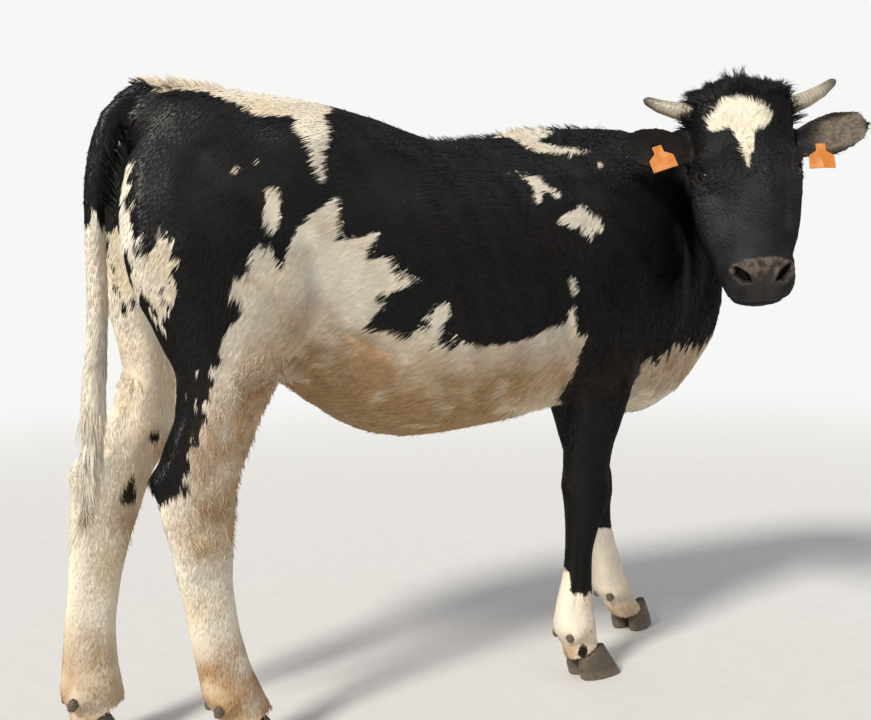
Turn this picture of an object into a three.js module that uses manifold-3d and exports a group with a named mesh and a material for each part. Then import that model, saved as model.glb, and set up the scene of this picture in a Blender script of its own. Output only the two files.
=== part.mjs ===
// A young dairy cow, about a year old, standing with its head turned to its right, at life size.
// Millimetres. +X is the way the body faces, +Y is the animal's left and +Z is up. The soles lie at Z = 0,
// and the origin is under the middle of the whole animal.
//
// The body is made of lofts: rings of a few measured stations, blended smoothly, that follow the spine, the
// legs, the neck, the head and the tail. Muscles and bones that show are soft swellings on those lofts. The
// flesh is joined into one solid and then parted again by thin cuts, so that the nodes meet without overlap.
import * as THREE from "three";
import { mergeVertices } from "three/addons/utils/BufferGeometryUtils.js";
import Module from "manifold-3d";

const wasm = await Module();
wasm.setup();

// ---------------------------------------------------------------- driving dimensions
const GAP = 0.3; // between two nodes that meet
const SOLE_LEVEL = 0; // height of the floor
const RIGHT = -1; // sign of Y on the animal's right
const LEFT = 1;

const HEAD = {
  poll: [609, -274, 1229], // top of the skull between the horns
  turn: -122, // the way the face looks, in degrees from +X towards +Y
  nod: 17.5, // how far the muzzle stands ahead of the poll, in degrees from plumb
  roll: 3, // the left side of the head is carried a little higher
};
const NECK_BEND = { radius: 100, start: 600, middle: -5 }; // the arc on which the neck turns to the right
const EYE = { radius: 18, at: [-46, 89, -184] };
const HORN = {
  thick: 17, // radius at the base
  root: [-40, 72, -40], // inside the skull, on the left
  [LEFT]: { length: 134, rise: 58 },
  [RIGHT]: { length: 120, rise: 44 },
};
const EAR = {
  length: 172,
  width: 104,
  thick: 9,
  at: [-76, 82, -119],
  sweep: 16, // forwards, in degrees
  [LEFT]: { rise: 14 }, // of the tip
  [RIGHT]: { rise: -2 },
};
const TAG = {
  width: 52,
  height: 56,
  neck: 20, // width of the narrow part round the pin
  rim: 8, // of the plate above the pin
  shoulder: [-8, -20], // where the neck starts to widen, and where it is at full width
  thick: 2.4,
  pin: 4, // radius
  button: 12, // radius
  ahead: 20, // of the ear's middle
  [LEFT]: { u: 0.4, v: -0.6, lean: -4 }, // where it is pinned on the ear, and how far it leans
  [RIGHT]: { u: 0.56, v: -0.12, lean: 14 },
};
const CLAW = { length: 104, half: 20, apart: 21.5, toeSlope: 24, coronet: 47 };
const DEWCLAW = {
  size: [11, 10, 15], // half of its depth, width and height
  apart: 24, // from the middle line of the foot
  sunk: 14, // into the fetlock
  height: 98,
  slant: 24,
};

// ---------------------------------------------------------------- colours of the sub-parts
const material = (color, roughness = 0.9) => new THREE.MeshStandardMaterial({ color, roughness, metalness: 0 });
const COAT_BLACK = () => material(0x1a1815);
const COAT_WHITE = () => material(0xe6dcc4);
const HOOF_HORN = () => material(0x4a3f35, 0.6);
const HORN_GREY = () => material(0xb5aa90, 0.5);
const EYE_DARK = () => material(0x120d0b, 0.1);
const TAG_ORANGE = () => material(0xe88a2c, 0.45);

// ---------------------------------------------------------------- shape tools
const radians = THREE.MathUtils.degToRad;

// Blends a table of number rows smoothly: row k is met exactly at t = k.
function blendRows(rows, t) {
  const k = Math.min(Math.floor(t), rows.length - 2);
  const f = t - k;
  const row = (i) => rows[THREE.MathUtils.clamp(i, 0, rows.length - 1)];
  const [a, b, c, d] = [row(k - 1), row(k), row(k + 1), row(k + 2)];
  return b.map((_, i) => {
    const bend = 2 * a[i] - 5 * b[i] + 4 * c[i] - d[i];
    const ease = 3 * (b[i] - c[i]) + d[i] - a[i];
    return b[i] + 0.5 * f * (c[i] - a[i] + f * (bend + f * ease));
  });
}

// A superellipse: the point at an angle on a rounded section with half sizes `a` across and `b` upwards.
function rounded(angle, a, b, power) {
  const bow = (v) => Math.sign(v) * Math.abs(v) ** (2 / power);
  return [a * bow(Math.cos(angle)), b * bow(Math.sin(angle))];
}

// A soft swelling (or hollow, where lift is negative) round a place, on both sides where `paired` is set.
const swell = (at, reach, lift, paired = true) => ({ at, reach, lift, paired });

function swollen(point, centre, swells) {
  const out = point.clone().sub(centre);
  if (out.lengthSq() < 1) return point;
  out.normalize();
  let lift = 0;
  for (const { at, reach, lift: height, paired } of swells) {
    const spread = Array.isArray(reach) ? reach : [reach, reach, reach];
    for (const side of paired ? [1, -1] : [1]) {
      const dx = (point.x - at[0]) / spread[0];
      const dy = (point.y - side * at[1]) / spread[1];
      const dz = (point.z - at[2]) / spread[2];
      lift += height * Math.exp(-(dx * dx + dy * dy + dz * dz));
    }
  }
  return point.clone().addScaledVector(out, lift);
}

// A closed loft: an open cylinder's grid whose rings are moved to the blended stations.
// `ring(t)` gives { centre, side, up, left, right, top, bottom, power, lower } for station t, where side and
// up span the ring's plane, the four lengths are its reach each way, and lower is the power below the middle.
function loft(ring, stations, { sides = 16, steps = 12, swells = [] } = {}) {
  const geometry = new THREE.CylinderGeometry(1, 1, 1, sides, steps);
  const position = geometry.getAttribute("position");
  for (let i = 0; i < position.count; i += 1) {
    const [x, y, z] = [position.getX(i), position.getY(i), position.getZ(i)];
    const r = ring((0.5 - y) * (stations - 1));
    const point = r.centre.clone();
    if (Math.hypot(x, z) > 0.5) {
      const angle = Math.atan2(x, z);
      const power = Math.sin(angle) > 0 ? r.power : r.lower;
      const across = Math.cos(angle) > 0 ? r.left : r.right;
      const height = Math.sin(angle) > 0 ? r.top : r.bottom;
      const [u, v] = rounded(angle, across, height, power);
      point.addScaledVector(r.side, u).addScaledVector(r.up, v);
    }
    const moved = swollen(point, r.centre, swells);
    position.setXYZ(i, moved.x, moved.y, moved.z);
  }
  return geometry;
}

// Turns a closed geometry into a solid, with its shared corners merged and its faces pointing outwards.
function solid(geometry, matrix = new THREE.Matrix4()) {
  const bare = geometry.clone().applyMatrix4(matrix);
  bare.deleteAttribute("normal");
  bare.deleteAttribute("uv");
  const merged = mergeVertices(bare, 1e-3);
  const points = merged.getAttribute("position").array;
  const corners = [];
  let volume = 0;
  const at = (i) => new THREE.Vector3().fromArray(points, 3 * i);
  const index = merged.getIndex().array;
  for (let i = 0; i < index.length; i += 3) {
    const [a, b, c] = [index[i], index[i + 1], index[i + 2]];
    if (a === b || b === c || c === a) continue;
    corners.push(a, b, c);
    volume += at(a).dot(at(b).cross(at(c)));
  }
  const triVerts = new Uint32Array(volume > 0 ? corners : corners.reverse());
  return new wasm.Manifold(new wasm.Mesh({ numProp: 3, vertProperties: new Float32Array(points), triVerts }));
}

// A solid box between two corners, turned by an optional matrix.
function boxSolid(low, high, matrix) {
  const size = high.map((v, i) => v - low[i]);
  const box = new THREE.BoxGeometry(...size);
  box.translate(...low.map((v, i) => v + size[i] / 2));
  return solid(box, matrix);
}

function meshOf(name, body, look) {
  const { vertProperties, triVerts } = body.getMesh();
  const geometry = new THREE.BufferGeometry();
  geometry.setAttribute("position", new THREE.BufferAttribute(new Float32Array(vertProperties), 3));
  geometry.setIndex(new THREE.BufferAttribute(new Uint32Array(triVerts), 1));
  geometry.computeVertexNormals();
  const mesh = new THREE.Mesh(geometry, look);
  mesh.name = name;
  return mesh;
}

const AXIS = { x: new THREE.Vector3(1, 0, 0), y: new THREE.Vector3(0, 1, 0), z: new THREE.Vector3(0, 0, 1) };

// ---------------------------------------------------------------- trunk
// Each row: x, height of the back, height of the belly, height of the widest line, half width there, and how
// square the back is (2 is round, less is a ridge).
const TRUNK_ROWS = [
  [-578, 1120, 930, 1030, 46, 2.2],
  [-560, 1160, 860, 1025, 84, 2.2],
  [-510, 1192, 790, 1000, 128, 2.1],
  [-430, 1196, 735, 975, 163, 2.1],
  [-340, 1186, 690, 960, 186, 2.3],
  [-260, 1180, 622, 935, 190, 2.4],
  [-170, 1168, 562, 885, 196, 2.4],
  [-80, 1143, 533, 840, 207, 2.4],
  [10, 1120, 529, 808, 217, 2.3],
  [110, 1123, 537, 795, 219, 2.15],
  [210, 1143, 553, 800, 211, 1.95],
  [310, 1160, 568, 820, 197, 1.75],
  [410, 1167, 562, 840, 187, 1.65],
  [500, 1168, 542, 850, 174, 1.7],
  [580, 1156, 545, 845, 150, 1.8],
  [660, 1110, 590, 835, 122, 2],
  [725, 1036, 650, 825, 92, 2],
  [765, 950, 706, 818, 58, 2],
  [784, 876, 762, 818, 28, 2],
];

const TRUNK_SWELLS = [
  swell([-312, 186, 1078], 46, 15), // hook bones
  swell([-592, 96, 1046], 42, 12), // pin bones
  swell([-160, 196, 1010], [95, 80, 60], -20), // hollow of the flank
  swell([-60, 150, 1098], [130, 40, 34], 8), // edge of the loin
  swell([360, 172, 985], [90, 80, 150], 10), // shoulder blade
  swell([505, 172, 815], [62, 70, 62], 24), // point of the shoulder
  swell([250, 190, 930], [50, 70, 130], -7), // behind the shoulder
  swell([-345, 0, 655], [60, 70, 40], 10, false), // udder of a heifer
];

function trunkRing(t) {
  const [x, back, belly, broad, half, square] = blendRows(TRUNK_ROWS, t);
  return {
    centre: new THREE.Vector3(x, 0, broad),
    side: AXIS.y,
    up: AXIS.z,
    left: half,
    right: half,
    top: back - broad,
    bottom: broad - belly,
    power: square,
    lower: 2.15,
  };
}

// ---------------------------------------------------------------- legs
// Each row: height, rear edge, front edge, inner and outer distance from the middle plane. The rings lie level.
const HIND_ROWS = [
  [1100, -560, -380, 20, 96],
  [1068, -592, -320, 8, 128],
  [1005, -620, -266, 2, 170],
  [930, -628, -236, 0, 202],
  [850, -617, -226, 0, 213],
  [785, -592, -244, 8, 206],
  [728, -556, -304, 28, 190],
  [668, -533, -356, 46, 170],
  [605, -545, -384, 60, 154],
  [548, -567, -405, 68, 146],
  [507, -583, -421, 72, 142],
  [458, -573, -433, 76, 138],
  [395, -559, -439, 80, 134],
  [335, -548, -440, 82, 130],
  [270, -537, -436, 82, 128],
  [205, -524, -425, 80, 130],
  [150, -511, -408, 74, 136],
  [112, -502, -392, 70, 140],
  [76, -484, -370, 70, 140],
  [30, -462, -346, 72, 138],
];

const FORE_ROWS = [
  [905, 256, 456, 70, 152],
  [830, 242, 506, 55, 177],
  [750, 247, 516, 48, 181],
  [690, 264, 488, 48, 172],
  [630, 279, 462, 52, 160],
  [570, 284, 436, 58, 150],
  [500, 282, 406, 64, 142],
  [435, 281, 390, 64, 138],
  [385, 283, 386, 62, 140],
  [345, 285, 380, 64, 138],
  [300, 285, 358, 68, 130],
  [240, 283, 350, 70, 126],
  [175, 266, 348, 66, 130],
  [118, 258, 346, 62, 138],
  [76, 272, 360, 62, 138],
  [30, 290, 378, 64, 136],
];

// How one leg differs from its table: its foot swings forwards and spreads outwards, evenly from the pivot
// height down to the floor, and the claws turn out by `toe` degrees.
const LEGS = {
  hind_right: { rows: HIND_ROWS, side: RIGHT, pivot: 760, swing: 0, spread: 0, toe: -6, heel: -450, rear: -498 },
  hind_left: { rows: HIND_ROWS, side: LEFT, pivot: 800, swing: -240, spread: -40, toe: 8, heel: -450, rear: -498 },
  fore_right: { rows: FORE_ROWS, side: RIGHT, pivot: 700, swing: 0, spread: 0, toe: -2, heel: 303, rear: 263 },
  fore_left: { rows: FORE_ROWS, side: LEFT, pivot: 900, swing: 295, spread: 0, toe: 26, heel: 303, rear: 263 },
};
const FOOT_LINE = { hind: 105, fore: 99 }; // middle of a foot from the middle plane

function legOffset(leg, z) {
  const share = THREE.MathUtils.clamp((leg.pivot - z) / leg.pivot, 0, 1);
  return { x: leg.swing * share, y: leg.side * leg.spread * share };
}

function legRing(leg, t) {
  const [z, rear, front, inner, outer] = blendRows(leg.rows, t);
  const offset = legOffset(leg, z);
  const [half, deep] = [(outer - inner) / 2, (front - rear) / 2];
  return {
    centre: new THREE.Vector3((front + rear) / 2 + offset.x, (leg.side * (inner + outer)) / 2 + offset.y, z),
    side: AXIS.y,
    up: AXIS.x,
    left: half,
    right: half,
    top: deep,
    bottom: deep,
    power: 2.15,
    lower: 2.15,
  };
}

// ---------------------------------------------------------------- lofts that follow a bent line
// A ring square to the line through the rows' first three numbers. The rest of a row is its reach up, down
// and to each side. `side` is the direction that the rings keep as near as they can.
function lineRing(rows, side, grow = 0, power = 2.1) {
  return (t) => {
    const [x, y, z, top, bottom, half] = blendRows(rows, t);
    const before = blendRows(rows, Math.max(t - 0.05, 0));
    const after = blendRows(rows, Math.min(t + 0.05, rows.length - 1));
    const along = new THREE.Vector3(after[0] - before[0], after[1] - before[1], after[2] - before[2]).normalize();
    const across = side.clone().addScaledVector(along, -side.dot(along)).normalize();
    const centre = new THREE.Vector3(x, y, z);
    if (t === 0) centre.addScaledVector(along, -grow);
    if (t === rows.length - 1) centre.addScaledVector(along, grow);
    return {
      centre,
      side: across,
      up: along.clone().cross(across),
      left: half + grow,
      right: half + grow,
      top: top + grow,
      bottom: bottom + grow,
      power,
      lower: power,
    };
  };
}

// ---------------------------------------------------------------- neck
// It leaves the shoulders forwards and turns to the right on an arc, up to the back of the head. Each row: where
// the arc starts along X, degrees turned, height of the middle, reach up and down, half width.
const NECK_ROWS = [
  [450, 0, 930, 215, 240, 146],
  [530, 0, 945, 208, 232, 138],
  [600, 0, 968, 194, 220, 122],
  [600, 32, 1000, 170, 200, 102],
  [600, 65, 1036, 142, 172, 90],
  [600, 98, 1068, 120, 146, 86],
  [600, 128, 1092, 104, 126, 84],
  [592, 146, 1102, 88, 110, 80],
];

// The rings stand upright and fan out from the middle of the arc, so they never cross.
function neckRing(t) {
  const [start, turned, z, top, bottom, half] = blendRows(NECK_ROWS, t);
  const turn = radians(turned);
  const x = start + NECK_BEND.radius * Math.sin(turn);
  const y = NECK_BEND.middle - NECK_BEND.radius * (1 - Math.cos(turn));
  return {
    centre: new THREE.Vector3(x, y, z),
    side: new THREE.Vector3(Math.sin(turn), Math.cos(turn), 0),
    up: AXIS.z,
    left: half,
    right: half,
    top,
    bottom,
    power: 1.85,
    lower: 2,
  };
}

// ---------------------------------------------------------------- head
// The head has a frame of its own: X out of the forehead, Y to its left, Z up from the muzzle to the poll.
const headFrame = new THREE.Matrix4()
  .makeTranslation(...HEAD.poll)
  .multiply(new THREE.Matrix4().makeRotationZ(radians(HEAD.turn)))
  .multiply(new THREE.Matrix4().makeRotationY(radians(-HEAD.nod)))
  .multiply(new THREE.Matrix4().makeRotationX(radians(HEAD.roll)));

// Each row: height, front of the face, back of the jaw, depth of the widest line, half width there.
const HEAD_ROWS = [
  [16, -34, -74, -54, 46],
  [8, -18, -92, -54, 76],
  [-10, -4, -110, -54, 96],
  [-42, 8, -132, -54, 105],
  [-85, 13, -158, -54, 105],
  [-130, 13, -186, -56, 104],
  [-175, 9, -202, -60, 106],
  [-215, 2, -206, -72, 106],
  [-260, -5, -200, -86, 102],
  [-305, -11, -188, -104, 95],
  [-350, -15, -166, -106, 84],
  [-388, -17, -146, -86, 71],
  [-412, -26, -132, -76, 67],
  [-432, -44, -120, -82, 55],
  [-441, -62, -104, -84, 32],
];

const HEAD_SWELLS = [
  swell([-18, 90, -160], [26, 26, 20], 8), // brow
  swell([-40, 104, -184], [30, 20, 26], -3), // eye socket
  swell([-150, 70, -170], [50, 40, 60], 9), // cheek muscle
  swell([-16, 66, -236], [30, 26, 44], -8), // hollow before the eye
  swell([-44, 58, -398], [26, 20, 22], 6), // nostril wing
  swell([-30, 36, -400], [14, 13, 14], -8), // nostril
  swell([-92, 60, -414], [16, 30, 12], -4), // corner of the mouth
  swell([-60, 90, -100], [34, 30, 26], -6), // temple
];

function headRing(t) {
  const [z, front, back, broad, half] = blendRows(HEAD_ROWS, t);
  return {
    centre: new THREE.Vector3(broad, 0, z),
    side: AXIS.y,
    up: AXIS.x,
    left: half,
    right: half,
    top: front - broad,
    bottom: broad - back,
    power: 2.55,
    lower: 1.95,
  };
}

// ---------------------------------------------------------------- horns, ears, eyes and ear tags
// Along a horn: distance out from its root, backwards bend and rise, then its radius.
function hornRows(side) {
  const { length, rise } = HORN[side];
  const lift = [0, 0.06, 0.25, 0.56, 1];
  const thick = [1.05, 1, 0.88, 0.64, 0.26];
  return lift.map((share, i) => {
    const r = HORN.thick * thick[i];
    const out = HORN.root[1] + (length * i) / (lift.length - 1);
    return [HORN.root[0] - 3 * i, side * out, HORN.root[2] + rise * share, r, r, r];
  });
}

// A cupped leaf: u runs from root to tip, v from the upper to the lower edge.
function earPoint(u, v, lift, side) {
  const broad = THREE.MathUtils.smoothstep(u, -0.15, 0.6);
  const spread = (0.3 + 0.7 * broad) * Math.sqrt(Math.max(1 - u ** 5, 0));
  const half = (EAR.width / 2) * spread;
  const cup = 24 * (v * v - 0.4) * (1 - 0.5 * u) * spread;
  const lower = v < 0 ? 1.1 - 0.3 * u : 0.95;
  const middle = EAR.at[2] + 8 + EAR[side].rise * u * u;
  const out = EAR.length * u;
  const ahead = out * Math.tan(radians(EAR.sweep)) + cup + lift;
  return [EAR.at[0] + ahead, side * (EAR.at[1] + out), middle + half * v * lower];
}

function earGeometry(side, grow = 0) {
  const geometry = new THREE.SphereGeometry(1, 11, 9);
  const position = geometry.getAttribute("position");
  for (let i = 0; i < position.count; i += 1) {
    const [x, y, z] = [position.getX(i), position.getY(i), position.getZ(i)];
    const u = Math.acos(THREE.MathUtils.clamp(y, -1, 1)) / Math.PI;
    const r = Math.hypot(x, z);
    const [v, face] = r > 1e-6 ? [x / r, z / r] : [0, 0];
    const body = (EAR.thick / 2) * (1.5 - 0.9 * u);
    const point = earPoint(u, v * (1 + (2 * grow) / EAR.width), face * (body + grow), side);
    position.setXYZ(i, ...point);
  }
  return geometry;
}

function eyeGeometry(side, grow = 0) {
  const ball = new THREE.SphereGeometry(EYE.radius + grow, 10, 8);
  ball.translate(EYE.at[0], side * EYE.at[1], EYE.at[2]);
  return ball;
}

// ---------------------------------------------------------------- tail
// It leaves the top of the rump, arches back clear of it and hangs down behind the thighs.
const TAIL_ROWS = [
  [-425, -2, 1150, 26, 26, 26],
  [-472, -3, 1172, 27, 27, 27],
  [-525, -5, 1176, 26, 26, 26],
  [-577, -8, 1152, 25, 25, 25],
  [-612, -12, 1106, 23, 23, 23],
  [-634, -16, 1040, 21, 21, 21],
  [-641, -18, 960, 21, 21, 21],
  [-640, -20, 880, 21, 21, 21],
  [-642, -22, 790, 21, 21, 21],
  [-648, -24, 700, 21, 21, 21],
  [-657, -26, 620, 24, 24, 24],
  [-668, -28, 540, 28, 28, 30],
  [-675, -29, 480, 22, 22, 24],
  [-678, -29, 446, 8, 8, 8],
];

// The tail's nodes, each between two heights.
const TAIL_LENGTHS = [
  { name: "dock", low: 1000, high: 1400, look: COAT_BLACK },
  { name: "middle", low: 640, high: 1000 - GAP, look: COAT_WHITE },
  { name: "switch", low: 200, high: 640 - GAP, look: COAT_WHITE },
];

// ---------------------------------------------------------------- feet
// A claw in the foot's frame: X towards the toe from the heel, Z up from the sole.
// Each row: height, rear edge, front edge, half width.
const CLAW_ROWS = [
  [0, 6, CLAW.length - 2, CLAW.half - 2],
  [4, 2, CLAW.length, CLAW.half],
  [26, -3, CLAW.length - 13, CLAW.half + 0.5],
  [52, 0, CLAW.length - 32, CLAW.half - 1],
  [84, 10, CLAW.length - 52, CLAW.half - 5],
];

function clawRing(t, side) {
  const [z, rear, front, half] = blendRows(CLAW_ROWS, t);
  const deepest = rear + 0.4 * (front - rear);
  return {
    centre: new THREE.Vector3(deepest, side * CLAW.apart, z),
    side: AXIS.y,
    up: AXIS.x,
    left: half,
    right: half,
    top: front - deepest,
    bottom: deepest - rear,
    power: 1.75,
    lower: 2.2,
  };
}

// The foot's own frame, where the leg's swing and spread have brought it.
function footFrame(name, leg) {
  const offset = legOffset(leg, SOLE_LEVEL);
  const line = FOOT_LINE[name.split("_")[0]];
  return new THREE.Matrix4()
    .makeTranslation(leg.heel + offset.x, leg.side * line + offset.y, SOLE_LEVEL)
    .multiply(new THREE.Matrix4().makeRotationZ(radians(leg.toe)));
}

// Everything above the slanting hair line of the foot; `lift` raises the line.
function aboveCoronet(frame, lift) {
  const slant = new THREE.Matrix4().makeRotationY(radians(-CLAW.toeSlope));
  const raise = new THREE.Matrix4().makeTranslation(0, 0, CLAW.coronet + lift);
  const local = frame.clone().multiply(raise).multiply(slant);
  return boxSolid([-900, -400, 0], [900, 400, 1500], local);
}

// A dewclaw set into the rear of the fetlock.
function dewclawSolid(name, leg, side, grow = 0) {
  const geometry = new THREE.SphereGeometry(1, 6, 4);
  geometry.scale(...DEWCLAW.size.map((v) => v + grow));
  geometry.rotateY(radians(DEWCLAW.slant));
  const line = leg.side * (FOOT_LINE[name.split("_")[0]] + leg.spread);
  const x = leg.rear + DEWCLAW.sunk + legOffset(leg, DEWCLAW.height).x;
  geometry.translate(x, line + side * DEWCLAW.apart, DEWCLAW.height);
  return solid(geometry);
}

// ---------------------------------------------------------------- ear tags
// A bare plate with a narrow neck, its pin through the ear and the button behind.
function tagSolid(side, grow = 0) {
  const [half, bottom, neck] = [TAG.width / 2, TAG.rim - TAG.height, TAG.neck / 2];
  const [narrow, full] = TAG.shoulder;
  const outline = new THREE.Shape();
  outline.moveTo(-neck, TAG.rim).lineTo(neck, TAG.rim).lineTo(neck, narrow).lineTo(half, full);
  outline.lineTo(half, bottom).lineTo(-half, bottom).lineTo(-half, full).lineTo(-neck, narrow).closePath();
  const plate = new THREE.ExtrudeGeometry(outline, { depth: TAG.thick, bevelEnabled: false });
  plate.applyMatrix4(new THREE.Matrix4().makeBasis(AXIS.y, AXIS.z, AXIS.x));
  const reach = TAG.ahead + 10;
  const shaft = new THREE.CylinderGeometry(TAG.pin + grow, TAG.pin + grow, reach, 8).rotateZ(Math.PI / 2);
  const button = new THREE.CylinderGeometry(TAG.button, TAG.button, 3, 10).rotateZ(Math.PI / 2);
  shaft.translate(1 - reach / 2, 0, 0);
  button.translate(1 - reach, 0, 0);
  const { u, v, lean } = TAG[side];
  const tilt = new THREE.Matrix4().makeRotationFromEuler(new THREE.Euler(radians(lean), radians(-5), 0));
  const pinned = new THREE.Matrix4().makeTranslation(...earPoint(u, v, TAG.ahead, side));
  const place = headFrame.clone().multiply(pinned).multiply(tilt);
  return solid(plate, place).add(solid(shaft, place)).add(solid(button, place));
}

// ---------------------------------------------------------------- parting the flesh into nodes
// Moves every corner of an outline outwards by a distance, keeping its sides parallel.
function widened(outline, distance) {
  return outline.map((corner, i) => {
    const before = outline[(i + outline.length - 1) % outline.length];
    const after = outline[(i + 1) % outline.length];
    const [p, q, r] = [before, corner, after].map(([x, z]) => new THREE.Vector2(x, z));
    const [a, b] = [q.clone().sub(p).normalize(), r.clone().sub(q).normalize()];
    const [m, n] = [new THREE.Vector2(a.y, -a.x), new THREE.Vector2(b.y, -b.x)];
    const bisector = m.add(n).normalize();
    const reach = distance / Math.max(bisector.dot(n), 0.3);
    return [q.x + bisector.x * reach, q.y + bisector.y * reach];
  });
}

// An upright wall of one outline in the XZ plane, between two distances on one side of the middle plane.
function wall(outline, side, near, far) {
  const shape = new THREE.Shape(outline.map(([x, z]) => new THREE.Vector2(x, z)));
  const block = new THREE.ExtrudeGeometry(shape, { depth: far - near, bevelEnabled: false });
  block.rotateX(Math.PI / 2);
  block.translate(0, side > 0 ? far : -near, 0);
  return solid(block);
}

// Outlines that take a leg out of the body, counterclockwise as seen from the animal's right.
const LEG_CUTS = {
  far: 330,
  hind: {
    outline: [[-205, 905], [-650, 1010], [-760, 900], [-760, -20], [-200, -20], [-330, 560], [-322, 700]],
    near: 0.5 * GAP,
  },
  fore: {
    outline: [[262, 742], [215, 600], [200, -20], [620, -20], [500, 480], [512, 610], [492, 742]],
    near: 40,
  },
};

function legCut(name, leg, grow) {
  const { outline, near } = LEG_CUTS[name.split("_")[0]];
  const swung = outline.map(([x, z]) => [x + legOffset(leg, Math.max(z, 0)).x, z]);
  return wall(widened(swung, grow), leg.side, near - grow, LEG_CUTS.far + grow);
}

// A box turned about Y, enlarged on its rear side and across by the gap that its neighbour keeps.
function turnedBox({ at, tilt, low, high }, frame, grow) {
  const place = frame.clone().multiply(new THREE.Matrix4().makeTranslation(...at));
  place.multiply(new THREE.Matrix4().makeRotationY(radians(tilt)));
  return boxSolid([low[0] - grow, low[1] - grow, low[2]], [high[0], high[1] + grow, high[2]], place);
}

// The head ends behind the ears and the angle of the jaw, and the neck in front of the shoulder blades.
const HEAD_CUT = { at: [-92, 0, -10], tilt: 19, low: [0, -126, -520], high: [420, 126, 120] };
const NECK_CUT = { at: [545, 0, 1180], tilt: -33, low: [0, -420, -560], high: [420, 260, 260] };
const headCut = (grow) => turnedBox(HEAD_CUT, headFrame, grow);
const neckCut = (grow) => turnedBox(NECK_CUT, new THREE.Matrix4(), grow);

// Takes the part inside a cut out of the flesh: the part is `cut(0)` and the rest keeps clear by the gap.
function takeOut(flesh, cut) {
  return [flesh.intersect(cut(0)), flesh.subtract(cut(GAP))];
}

// ---------------------------------------------------------------- building the animal
const nodes = [];
const keep = (name, body, look) => nodes.push([name, body, look]);

const headShape = loft(headRing, HEAD_ROWS.length, { sides: 18, steps: 22, swells: HEAD_SWELLS });
const neckShape = loft(neckRing, NECK_ROWS.length, { sides: 16, steps: 12 });
let front = solid(headShape, headFrame).add(solid(neckShape));
for (const [name, side] of [["left", LEFT], ["right", RIGHT]]) {
  const horn = (grow) => solid(loft(lineRing(hornRows(side), AXIS.x, grow), 5, { sides: 8, steps: 7 }), headFrame);
  keep(`horn_${name}`, horn(0), HORN_GREY());
  keep(`eye_${name}`, solid(eyeGeometry(side), headFrame), EYE_DARK());
  keep(`ear_${name}`, solid(earGeometry(side), headFrame).subtract(tagSolid(side, GAP)), COAT_BLACK());
  keep(`ear_tag_${name}`, tagSolid(side), TAG_ORANGE());
  front = front.subtract(horn(GAP)).subtract(solid(eyeGeometry(side, GAP), headFrame));
  front = front.subtract(solid(earGeometry(side, GAP), headFrame));
}
const [headPart, neckBase] = takeOut(front, headCut);
keep("head", headPart, COAT_BLACK());

const trunkShape = loft(trunkRing, TRUNK_ROWS.length, { sides: 24, steps: 27, swells: TRUNK_SWELLS });
let flesh = solid(trunkShape).add(neckBase);
for (const leg of Object.values(LEGS)) {
  flesh = flesh.add(solid(loft((t) => legRing(leg, t), leg.rows.length, { sides: 12, steps: 17 })));
}
const tailShape = (grow) => loft(lineRing(TAIL_ROWS, AXIS.y, grow), TAIL_ROWS.length, { sides: 8, steps: 18 });
const tailLoft = (grow) => solid(tailShape(grow));
flesh = flesh.subtract(tailLoft(GAP));

for (const [name, leg] of Object.entries(LEGS)) {
  const frame = footFrame(name, leg);
  const pastern = aboveCoronet(frame, 0);
  for (const [which, side] of [["outer", leg.side], ["inner", -leg.side]]) {
    const claw = solid(loft((t) => clawRing(t, side), CLAW_ROWS.length, { sides: 10, steps: 4 }), frame);
    keep(`claw_${name}_${which}`, claw.subtract(pastern), HOOF_HORN());
    keep(`dewclaw_${name}_${which}`, dewclawSolid(name, leg, side), HOOF_HORN());
    flesh = flesh.subtract(dewclawSolid(name, leg, side, GAP));
  }
  const [part, rest] = takeOut(flesh, (grow) => legCut(name, leg, grow));
  keep(`leg_${name}`, part.intersect(aboveCoronet(frame, GAP)), COAT_WHITE());
  flesh = rest;
}

const [neckPart, trunkPart] = takeOut(flesh, neckCut);
keep("neck", neckPart, COAT_BLACK());
keep("trunk", trunkPart, COAT_BLACK());

for (const { name, low, high, look } of TAIL_LENGTHS) {
  const slab = boxSolid([-900, -200, low], [200, 200, high]);
  keep(`tail_${name}`, tailLoft(0).intersect(slab), look());
}

// ---------------------------------------------------------------- the group, centred on its own box
const cow = new THREE.Group();
for (const [name, body, look] of nodes) cow.add(meshOf(name, body, look));
const box = new THREE.Box3().setFromObject(cow);
cow.position.set(-0.5 * (box.min.x + box.max.x), -0.5 * (box.min.y + box.max.y), 0);
export default cow;
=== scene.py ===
"""A young black-and-white cow at life size, standing with its head turned to its right.

Metres, in the row's frame: +X is the way the body faces, +Y the animal's left and +Z up. Tables of places
on the animal are in millimetres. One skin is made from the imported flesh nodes: they are remeshed together,
smoothed across the cuts, drawn in by the depth of the coat and modelled further by formulas. Eyes, horns,
claws and ear tags are pieces of their own. Over the skin lies a coat of small closed tufts and longer locks,
which follow the lie of the hair and carry the same markings as the skin.
"""

from __future__ import annotations

import logging
import math
from contextlib import contextmanager
from dataclasses import dataclass, field, fields
from enum import Enum
from typing import Iterator, Sequence

import bmesh
import bpy
import numpy as np
from bpy.types import Material, Mesh, Node, NodeOutputs, NodeSocket, NodeTree, Object
from mathutils import Matrix, Vector

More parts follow.
